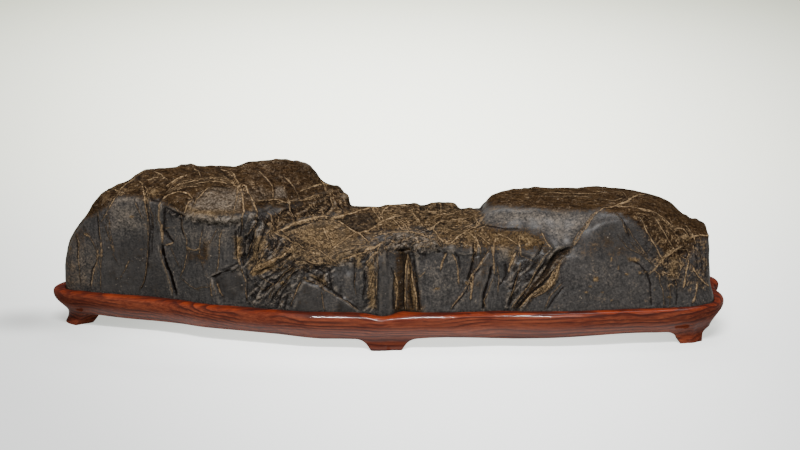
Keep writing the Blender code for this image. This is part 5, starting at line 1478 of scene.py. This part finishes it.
class Graph:
    """The node tree of one material."""

    def __init__(self, name: str) -> None:
        """Start a material with an empty tree."""
        self.material = bpy.data.materials.new(name)
        self.material.use_nodes = True
        self.nodes = self.material.node_tree.nodes
        self.nodes.clear()

    def node(self, kind: str, settings: dict | None = None, inputs: dict | None = None) -> bpy.types.Node:
        """Add a node.

        Args:
            kind: The node's type.
            settings: Its settings, set first.
            inputs: A value, number or colour for each socket, by name or number.

        Returns:
            The node.
        """
        made = self.nodes.new(kind)
        for name, setting in (settings or {}).items():
            setattr(made, name, setting)
        for name, given in (inputs or {}).items():
            socket = made.inputs[name]
            if isinstance(given, Value):
                self.material.node_tree.links.new(given.socket, socket)
            elif isinstance(given, tuple) and len(socket.default_value) == 4:
                socket.default_value = (*given, 1.0)
            else:
                socket.default_value = given
        return made

    def math(self, operation: str, *given: Value | float) -> Value:
        """One step of arithmetic."""
        node = self.node("ShaderNodeMath", {"operation": operation}, dict(enumerate(given)))
        return Value(self, node.outputs[0])

    def mix(self, share: Value | float, one: Value | Colour, other: Value | Colour) -> Value:
        """Colour between one and other."""
        node = self.node("ShaderNodeMix", {"data_type": "RGBA", "clamp_factor": True},
                         {0: share, 6: one, 7: other})
        return Value(self, node.outputs[2])

    def layered(self, colour: Value, *layers: tuple[Value, Value | Colour]) -> Value:
        """Colour with each layer's own colour laid over it in turn, by the layer's share."""
        for share, laid in layers:
            colour = self.mix(share, colour, laid)
        return colour

    def times(self, colour: Value | Colour, amount: Value | float) -> Value:
        """Colour made lighter or darker."""
        node = self.node("ShaderNodeVectorMath", {"operation": "SCALE"}, {0: colour, "Scale": amount})
        return Value(self, node.outputs[0])

    def attribute(self, name: str) -> Value:
        """Number painted on the mesh."""
        return Value(self, self.node("ShaderNodeAttribute", {"attribute_name": name}).outputs["Fac"])

    def millimetres(self) -> Value:
        """Place on the object in millimetres."""
        place = Value(self, self.node("ShaderNodeTexCoord").outputs["Object"])
        node = self.node("ShaderNodeVectorMath", {"operation": "SCALE"}, {0: place, "Scale": 1 / MM})
        return Value(self, node.outputs[0])

    def turned(self, place: Value, turn: Colour, stretch: Colour) -> Value:
        """Turn a place about the three axes, then divide it along each.

        Args:
            place: The place.
            turn: Turn about each axis, in degrees.
            stretch: What it is divided by along each axis.

        Returns:
            The new place.
        """
        angles = tuple(math.radians(angle) for angle in turn)
        turned = self.node("ShaderNodeMapping", {"vector_type": "POINT"},
                           {"Vector": place, "Rotation": angles})
        scale = tuple(1 / size for size in stretch)
        node = self.node("ShaderNodeVectorMath", {"operation": "MULTIPLY"},
                         {0: Value(self, turned.outputs[0]), 1: scale})
        return Value(self, node.outputs[0])

    def part(self, place: Value, axis: int) -> Value:
        """One coordinate of a place."""
        return Value(self, self.node("ShaderNodeSeparateXYZ", None, {0: place}).outputs[axis])

    def noise(self, place: Value, size: float, detail: float = 2.0, roughness: float = 0.5,
              distortion: float = 0.0) -> Value:
        """Smooth noise around 0.5.

        Args:
            place: Where to read it.
            size: Size of its lumps.
            detail: How many finer layers it has.
            roughness: How strong these are.
            distortion: How far it swirls.

        Returns:
            The noise.
        """
        node = self.node("ShaderNodeTexNoise", None, {"Vector": place, "Scale": 1 / size, "Detail": detail,
                                                      "Roughness": roughness, "Distortion": distortion})
        return Value(self, node.outputs[0])

    def long_noise(self, place: Value, sizes: Colour, *settings: float,
                   turn: Colour = (0.0, 0.0, 0.0)) -> Value:
        """Noise whose lumps have a size of their own along each of the turned axes."""
        return self.noise(self.turned(place, turn, sizes), 1.0, *settings)

    def crease(self, place: Value, size: float, detail: float = 2.0, distortion: float = 0.0) -> Value:
        """0 along thin wandering lines, rising away from them."""
        return abs(self.noise(place, size, detail, 0.5, distortion) - 0.5) * 2

    def spots(self, place: Value, size: float) -> Value:
        """Distance to the nearest of some scattered points, in cell sizes."""
        node = self.node("ShaderNodeTexVoronoi", None, {"Vector": place, "Scale": 1 / size})
        return Value(self, node.outputs[0])

    def finish(self, colour: Value | Colour, roughness: Value | float, height: Value | None = None,
               constants: dict | None = None) -> bpy.types.Material:
        """End the tree in one shader.

        Args:
            colour: Base colour.
            roughness: Roughness.
            height: Fine height in millimetres.
            constants: Other sockets of the shader and their values.

        Returns:
            The material.
        """
        inputs = {"Base Color": colour, "Roughness": roughness, **(constants or {})}
        if height is not None:
            bump = self.node("ShaderNodeBump", None, {"Strength": 1.0, "Distance": MM, "Height": height})
            inputs["Normal"] = Value(self, bump.outputs[0])
        shader = self.node("ShaderNodeBsdfPrincipled", None, inputs)
        self.node("ShaderNodeOutputMaterial", None, {"Surface": Value(self, shader.outputs[0])})
        return self.material


@dataclass(frozen=True)
class StoneFinish:
    """Dark, dense stone with brown summits, tan earthy hollows and thin golden veins, with painted shade,
    sheen and highlight in its colour.
    """

    dark: Colour = (0.0090, 0.0084, 0.0081)
    dark_light: Colour = (0.0275, 0.0247, 0.0228)
    brown: Colour = (0.0058, 0.0032, 0.0015)
    brown_light: Colour = (0.0262, 0.0150, 0.0066)
    tan: Colour = (0.0205, 0.0122, 0.0054)
    tan_light: Colour = (0.120, 0.080, 0.040)
    vein: Colour = (0.056, 0.035, 0.017)
    vein_light: Colour = (0.175, 0.118, 0.064)
    # pale and pale_light are pale stone, and also paint the sheen on pale facets and the highlight on ridges
    pale: Colour = (0.026, 0.0210, 0.0160)
    pale_light: Colour = (0.100, 0.082, 0.064)
    # black and deepest are dark patches, and also paint shade in pits, broad hollows, grooves and clefts and
    # beside lines and veins
    black: Colour = (0.0048, 0.0040, 0.0034)
    deepest: Colour = (0.0020, 0.0015, 0.0012)
    slant: float = 48.0
    shine: float = 0.34

    def veins(self, g: Graph, wander: Value, uneven: Value) -> tuple[Value, Value, Value]:
        """The drawn veins, and the painted shade along the clefts.

        Args:
            g: The material.
            wander: How far they stray from their lines, in millimetres.
            uneven: How their width changes along them.

        Returns:
            The veins, the painted shadow beside them and the painted shade along the clefts.
        """
        half = g.attribute("vein_half") * (0.2 + uneven * 0.46)
        gap = abs(g.attribute("vein_gap") + wander)
        cleft_half = g.attribute("cleft_half") * (0.2 + uneven * 0.9)
        cleft_gap = abs(g.attribute("cleft_gap") + wander * 0.7)
        # the veins, a painted shadow along each, and the painted shade in the clefts
        return ((half - gap).rising(-0.25, 0.2), (half + 0.8 - gap).rising(-0.1, 0.5),
                (cleft_half - cleft_gap).rising(-0.25, 0.25))

    def hair_lines(self, g: Graph, place: Value, along_folds: Value) -> tuple[Value, Value]:
        """The net of hair lines.

        Args:
            g: The material.
            place: Where to read it.
            along_folds: The same place, turned along the folds.

        Returns:
            The lines, and the painted shadows beside them.
        """
        creases = g.crease(along_folds, 7.0, 1.5, 0.8)
        net = creases.falling(0.02, 0.10)
        hair = g.crease(along_folds, 3.0, 1.0, 0.6).falling(0.02, 0.14)
        across = g.turned(place, (30.0, -35.0, 0.0), (2.6, 1.0, 1.0))
        web = g.crease(across, 5.5, 1.0, 0.9).falling(0.02, 0.12)
        # painted shadow along both sides of the lines
        shadows = ((net + web) * 0.5 + creases.falling(0.08, 0.24)).at_most(1.0)
        return net * 0.8 + hair * 0.4 + web * 0.6, shadows

    def build(self) -> bpy.types.Material:
        """Make the material."""
        g = Graph("dark_stone_finish")
        place = g.millimetres()
        along_folds = g.turned(place, (0.0, self.slant, 0.0), (3.2, 1.0, 1.0))
        broad = g.noise(place, 38.0, 3.0)
        middle = g.noise(place, 8.0, 4.0, 0.6)
        small = g.noise(place, 3.2, 3.0, 0.65)
        fine = g.noise(place, 1.5, 2.0, 0.6)
        grain = g.noise(place, 0.5, 2.0)
        uneven = g.noise(place, 5.0, 2.0, 0.6).rising(0.3, 0.6)
        streaks = g.long_noise(place, (11.0, 4.0, 1.3), 3.0, 0.6, 0.5, turn=(0.0, -6.0, 12.0))
        runs = g.long_noise(place, (1.7, 1.7, 11.0), 2.0, 0.6, turn=(0.0, 8.0, 0.0))
        slants = g.long_noise(place, (7.0, 3.0, 1.2), 3.0, 0.6, 0.6, turn=(0.0, 24.0, -10.0))
        patches = g.long_noise(place, (9.0, 6.0, 4.0), 3.0, 0.6, 0.8, turn=(0.0, 20.0, 0.0))
        patches = patches.rising(0.52, 0.66)
        broken = middle.swing(1.4) + small.swing(0.9) + fine.swing(1.3)
        speckle = fine.swing(3.2) + small.swing(1.8) + grain.swing(0.8)

        # painted areas, their edges broken up
        rough, veined = g.attribute("rough"), g.attribute("veined")
        tan_drawn, brown_drawn = g.attribute("tan"), g.attribute("brown")
        brown = (brown_drawn + broken * 0.8).rising(0.1, 0.85)
        # pale grey facets with painted sheen
        pale = (g.attribute("pale") + broken * 0.5).rising(0.05, 1.0)
        # dark patches and painted shade, mixed towards black below
        dark = (g.attribute("dark") + broken * 0.6).rising(0.2, 0.85)
        tan = (tan_drawn + broken * 0.6).rising(0.1, 0.9) * (1 - dark * 0.75)
        earthy = (tan_drawn + brown_drawn * 0.2 + middle.swing(0.5)).rising(0.05, 0.45)
        # painted shade inside the grooves
        groove_shade = (g.attribute("groove_shade") + fine.swing(0.5)).rising(0.3, 1.0)

        # veins, hair lines, scratches and fissures
        wander = g.noise(place, 6.0, 2.0).swing(1.6) + fine.swing(0.45)
        vein, vein_shadow, cleft = self.veins(g, wander, uneven)
        lines, line_shadows = self.hair_lines(g, place, along_folds)
        lined = (veined + broken * 0.5).rising(0.3, 0.9)
        lines = lines * lined * small.rising(0.4, 0.6) * (1 - dark * 0.7)
        line_shadows = line_shadows * lined
        scratches = g.crease(g.turned(place, (0.0, 20.0, 0.0), (9.0, 4.0, 1.0)), 3.0, 1.0).falling(0.0, 0.04)
        specks = g.spots(place, 3.6).falling(0.1, 0.2) * middle.rising(0.5, 0.62)
        earth = tan.at_least(rough * 1.2).at_most(1.0)
        fissure = g.crease(place, 5.0, 3.0, 0.9).falling(0.02, 0.13) * earth

        # folds, painted highlight on ridges and painted shade in hollows
        hollow = g.attribute("hollow")
        folds = g.crease(along_folds, 3.4, 3.0, 0.5)
        folded = rough * 0.7 * folds.rising(0.2, 0.6) * (small + fine * 0.6).rising(0.66, 0.9)
        # painted highlight on the ridges
        ridge = (0 - hollow).rising(0.1, 0.8) * (0.1 + small * 0.5 + rough * 0.35).at_most(0.8)
        # painted shade in pits and, below, in broad hollows
        hollow_shade = hollow.rising(0.1, 0.75)
        low = g.attribute("wide_hollow").rising(0.05, 0.9)

        dark_tone = g.mix(broad.swing(1.0) + middle.swing(0.5) + runs.swing(1.1) + speckle * 0.5 + 0.48,
                          self.dark, self.dark_light)
        brown_tone = g.mix(speckle * 0.4 + streaks.swing(2.6) + middle.swing(0.7) + 0.42,
                           self.brown, self.brown_light)
        pale_sheen_tone = g.mix(speckle * 0.55 + middle.swing(0.6) + 0.46, self.pale, self.pale_light)
        tan_tone = g.mix(speckle * 0.2 + middle.swing(1.1) + slants.swing(1.5) + 0.5,
                         self.tan, self.tan_light)
        fold_tone = g.mix(earthy, g.mix(speckle * 0.4 + 0.4, self.pale, self.pale_light), tan_tone)
        ridge_highlight_tone = g.mix(earthy * 0.9, self.pale_light, self.tan_light)
        vein_tone = g.mix(grain.swing(1.6) + fine.swing(3.0) + uneven * 0.5 + 0.15,
                          self.vein, self.vein_light)
        cleft_half = g.attribute("cleft_half")
        vein_strength = ((0.26 + g.attribute("vein_half") * 0.58).at_most(0.9)
                         * (0.55 + (tan + brown + veined).at_most(1.0) * 0.45))
        # the layers hold painted shade (dark areas, hollows, pits, beside lines and veins, in grooves and
        # clefts), painted highlight on ridges and painted sheen on pale facets
        colour = g.layered(
            dark_tone, (brown * 0.96, brown_tone), (pale * 0.9, pale_sheen_tone), (tan * 0.92, tan_tone),
            (folded, fold_tone), (dark * 0.75, self.black), (low * (0.22 - rough * 0.1), self.black),
            (hollow_shade * (0.5 - rough * 0.25), self.black), (ridge, ridge_highlight_tone),
            (line_shadows * (0.4 - rough * 0.2), self.black), (veined * patches * 0.66, self.black),
            (lines * 0.6, vein_tone), ((scratches * 0.09 + specks * 0.6).at_most(1.0), self.pale_light),
            (fissure * 0.65, self.black), (groove_shade * 0.6, self.black),
            (cleft * (cleft_half.rising(0.45, 0.75) * 0.45 + 0.45), self.black),
            (vein_shadow * 0.45, self.black), (vein * vein_strength, vein_tone),
            (cleft * cleft_half.rising(0.7, 0.9), self.deepest))
        colour = g.times(colour, 0.4 + fine * 0.8 + grain * 0.4)

        height = (middle.swing(0.7) + small.swing(0.8)
                  + fine.swing(0.35 + (tan + brown + rough).at_most(1.0) * 0.5) + grain.swing(0.06)
                  + lines * 0.15 + vein * 0.3 - groove_shade * 0.2 - cleft * 0.6 - fissure * 0.4
                  + folds * rough * 2.2 + tan * 0.15)
        dull = (brown + tan + dark * 0.6 + vein + cleft + line_shadows * 0.8 + hollow_shade * 0.8 + fissure
                + veined * (patches + 1.0) * 0.5 + rough * 0.2).at_most(1.0)
        return g.finish(colour, 0.6 + middle.swing(0.16) + fine.swing(0.14), height, {
            "IOR": 1.5, "Specular IOR Level": 0.0, "Coat IOR": 1.35, "Coat Roughness": 0.38,
            "Coat Weight": (1 - dull) * (0.4 + small * 0.6) * self.shine})


@dataclass(frozen=True)
class WoodFinish:
    """Red-brown hardwood with dark wavy growth lines under a thin polish."""

    light: Colour = (0.100, 0.0242, 0.0107)
    deep: Colour = (0.051, 0.0099, 0.0048)
    line: Colour = (0.016, 0.0042, 0.0034)
    # painted light: the lip's top made warmer and more orange
    painted_glow: Colour = (0.125, 0.0155, 0.0030)
    spacing: float = 3.3
    lean: float = 0.26
    # stretches of the lip that shine: growing between two x, fading between two more, and strength
    shining: tuple = ((-84.0, -70.0, -34.0, -22.0, 1.1), (8.0, 16.0, 40.0, 52.0, 0.6),
                      (-12.0, -8.5, -5.0, -1.5, 1.3), (88.0, 100.0, 145.0, 165.0, 0.75))

    def build(self) -> bpy.types.Material:
        """Make the material."""
        g = Graph("red_hardwood_finish")
        place = g.millimetres()
        x, y, z = (g.part(place, axis) for axis in range(3))
        waves = g.long_noise(place, (70.0, 26.0, 16.0), 2.0, 0.45)
        ripples = g.long_noise(place, (17.0, 7.0, 7.0), 1.0)
        layer = (z - y * self.lean + waves.swing(15.0) + ripples.swing(1.6)) / self.spacing
        share = layer - layer.floor()
        chance = g.long_noise(place, (90.0, 9.0, 9.0), 1.0)
        line = share.rising(0.3, 0.86) * share.falling(0.9, 1.0) * chance.rising(0.28, 0.56)
        fibres = g.long_noise(place, (22.0, 1.3, 1.3), 3.0, 0.65)
        pores = g.long_noise(place, (6.0, 0.5, 0.5), 1.0).rising(0.6, 0.72)
        broad = g.long_noise(place, (60.0, 16.0, 16.0), 2.0)
        stains = g.long_noise(place, (24.0, 3.5, 5.0), 3.0, 0.6).rising(0.46, 0.6)
        # height as it would be if the lip didn't dip above the middle front foot
        level = z + x.rising(-18.0, -3.0) * x.falling(-3.0, 12.0) * y.falling(-20.0, 0.0) * 2.2
        top = level.rising(25.0, 28.0)
        ends = abs(x).rising(205.0, 240.0)
        under_front = z.falling(6.0, 13.0) * y.falling(-60.0, -45.0)
        shade = (ends * 0.4 + level.rising(27.4, 28.3) * 0.3 + under_front * 0.7).at_most(0.6)
        # the lip's top gets painted warm light
        colour = g.layered(g.mix(fibres.swing(3.4) + broad.swing(1.6) + 0.5, self.deep, self.light),
                           (top * 0.6, self.painted_glow), (top * stains * 0.8, self.line),
                           (line * 0.85, self.line), (pores * 0.5, self.line), (shade, self.line))
        stretches = sum(x.rising(start, full) * x.falling(fading, end) * strength
                        for start, full, fading, end, strength in self.shining)
        lip = level.rising(24.6, 25.3) * level.falling(27.0, 27.9) * (0.18 + stretches * 0.75)
        haze = z.falling(9.0, 21.0) * z.rising(3.0, 11.0) * 0.42
        coat = ((lip + haze) * y.falling(0.0, 40.0) + 0.1) * (1 - ends * 0.6)
        height = fibres.swing(0.03) - pores * 0.03 + ripples.swing(0.2)
        roughness = 0.36 + fibres.swing(0.1) + pores * 0.15
        return g.finish(colour, roughness, height,
                        {"IOR": 1.5, "Specular IOR Level": 0.0, "Coat Weight": coat,
                         "Coat Roughness": 0.07, "Coat IOR": 1.42})


@dataclass(frozen=True)
class FloorFinish:
    """Plain pale floor that gives off painted light, most of all a little behind the object, with a painted
    pool of light under the object and a painted shadow beside its left end.
    """

    colour: Colour = (0.47, 0.47, 0.468)
    painted_glow: Colour = (0.955, 1.0, 0.965)
    painted_glow_behind: Colour = (0.975, 1.03, 0.68)
    brightest: float = 1.6
    darkest: float = 0.5
    middle_y: float = 0.8
    # painted light: an oval pool under the object
    painted_light_beneath: tuple[float, ...] = (0.0, -0.03, 0.27, 0.1)  # lighter oval: its middle, its half sizes
    # painted shadow: an oval beside the stone's left end
    beside: tuple[float, ...] = (-0.28, 0.02, 0.055, 0.05)  # darker oval

    def oval(self, x: Value, y: Value, sizes: tuple[float, ...]) -> Value:
        """1 at the middle of an oval, 0 at its edge and less outside."""
        middle_x, middle_y, half_x, half_y = sizes
        return 1 - (((x - middle_x) / half_x) ** 2 + ((y - middle_y) / half_y) ** 2) ** 0.5

    def build(self) -> bpy.types.Material:
        """Make the material."""
        g = Graph("pale_floor_finish")
        place = g.millimetres()
        x, y = g.part(place, 0) * MM, g.part(place, 1) * MM
        aside = (x + y * 0.05 - 0.05) / ((y + 0.3) * 0.42 + 0.45).at_least(0.45)
        along = (self.middle_y - y).at_least(0.0) / 2 + (y - self.middle_y).at_least(0.0) / 6
        away = ((aside * aside + along * along) ** 0.5).rising(0.0, 0.85)
        light = (self.brightest - away * (self.brightest - self.darkest)
                 + self.oval(x, y, self.painted_light_beneath).rising(0.0, 0.6) * 0.3
                 - self.oval(x, y, self.beside).rising(0.0, 1.0) * 0.25)
        painted_glow = g.mix(y.rising(-0.2, 0.8), self.painted_glow, self.painted_glow_behind)
        return g.finish(g.times(self.colour, light), 0.9, None, {
            "Specular IOR Level": 0.0, "Emission Color": g.times(painted_glow, light), "Emission Strength": 1.0})


# ---- the studio
@dataclass(frozen=True)
class Softbox:
    """One rectangular soft light."""

    name: str
    place: Colour
    aim: Colour
    size: Pair
    power: float
    colour: Colour = (1.0, 1.0, 1.0)

    def build(self) -> Piece:
        """Make the light."""
        bpy.ops.object.select_all(action="DESELECT")
        bpy.ops.object.light_add(type="AREA", location=self.place)
        lamp = bpy.context.object
        lamp.name = self.name
        lamp.data.shape = "RECTANGLE"
        lamp.data.size, lamp.data.size_y = self.size
        lamp.data.energy = self.power
        lamp.data.color = self.colour
        lamp.rotation_euler = (Vector(self.aim) - Vector(self.place)).to_track_quat("-Z", "Y").to_euler()
        return lamp


@dataclass
class Studio:
    """Floor, lights, surroundings and camera."""

    floor_side: float = 12.0
    surround: Colour = (0.93, 0.93, 0.92)
    surround_strength: float = 0.7
    target: Colour = (0.009, 0.0, 0.080)
    distance: float = 1.25
    elevation: float = math.radians(13.0)
    lens: float = 75.0
    sensor: float = 36.0
    lights: list[Softbox] = field(default_factory=lambda: [
        Softbox("behind_top", (0.25, 1.2, 1.9), (0.2, 1.1, 0.0), (2.2, 1.2), 95.0),
        Softbox("front_top", (0.1, -1.5, 1.9), (0.0, 0.0, 0.05), (1.5, 0.8), 22.0),
        Softbox("strip", (-0.08, -1.1, 1.75), (0.0, 0.0, 0.05), (0.9, 0.055), 106.0),
    ])

    def build(self) -> Piece:
        """Make the studio.

        Returns:
            The floor.
        """
        bpy.ops.object.select_all(action="DESELECT")
        bpy.ops.mesh.primitive_plane_add(size=self.floor_side, location=(0.0, 0.0, 0.0))
        floor = bpy.context.object
        floor.name = "studio_floor"
        floor.data.materials.append(FloorFinish().build())
        for light in self.lights:
            light.build()
        world = bpy.data.worlds.new("studio_surround")
        world.use_nodes = True
        background = world.node_tree.nodes["Background"]
        background.inputs["Color"].default_value = (*self.surround, 1.0)
        background.inputs["Strength"].default_value = self.surround_strength
        bpy.context.scene.world = world
        self.camera()
        return floor

    def camera(self) -> None:
        """Make the camera and look along +Y, slightly down."""
        away = Vector((0.0, -math.cos(self.elevation), math.sin(self.elevation))) * self.distance
        place = Vector(self.target) + away
        bpy.ops.object.select_all(action="DESELECT")
        bpy.ops.object.camera_add(location=place)
        camera = bpy.context.object
        camera.name = "studio_camera"
        camera.rotation_euler = (-away).to_track_quat("-Z", "Y").to_euler()
        camera.data.lens = self.lens
        camera.data.sensor_width = self.sensor
        bpy.context.scene.camera = camera


def report(piece: Piece) -> None:
    """Log the piece's size."""
    corners = [piece.matrix_world @ Vector(corner) for corner in piece.bound_box]
    sizes = [(max(c[axis] for c in corners) - min(c[axis] for c in corners)) / MM for axis in range(3)]
    LOG.info("%s: %d faces, %.1f x %.1f x %.1f mm", piece.name, len(piece.data.polygons), *sizes)


def place_piece(piece: Piece, node: str, material: bpy.types.Material) -> None:
    """Give the piece its finish, and let it stand for its node of the frame.

    Args:
        piece: The piece.
        node: The node that it replaces.
        material: The finish.
    """
    piece.data.materials.append(material)
    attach(piece, BODY)
    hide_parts(node)
    report(piece)


def main() -> None:
    """Build the stone, its stand and the studio."""
    logging.basicConfig(level=logging.INFO, format="%(message)s")
    form = ViewingStone()
    stone = form.build()
    foot = np.vstack([form.carved[:, 0, :2], form.carved[::-1, -1, :2]])
    stand = CarvedStand().build(foot)
    place_piece(stone, "stone", StoneFinish().build())
    place_piece(stand, "stand", WoodFinish().build())
    Studio().build()


if __name__ == "__main__":
    main()
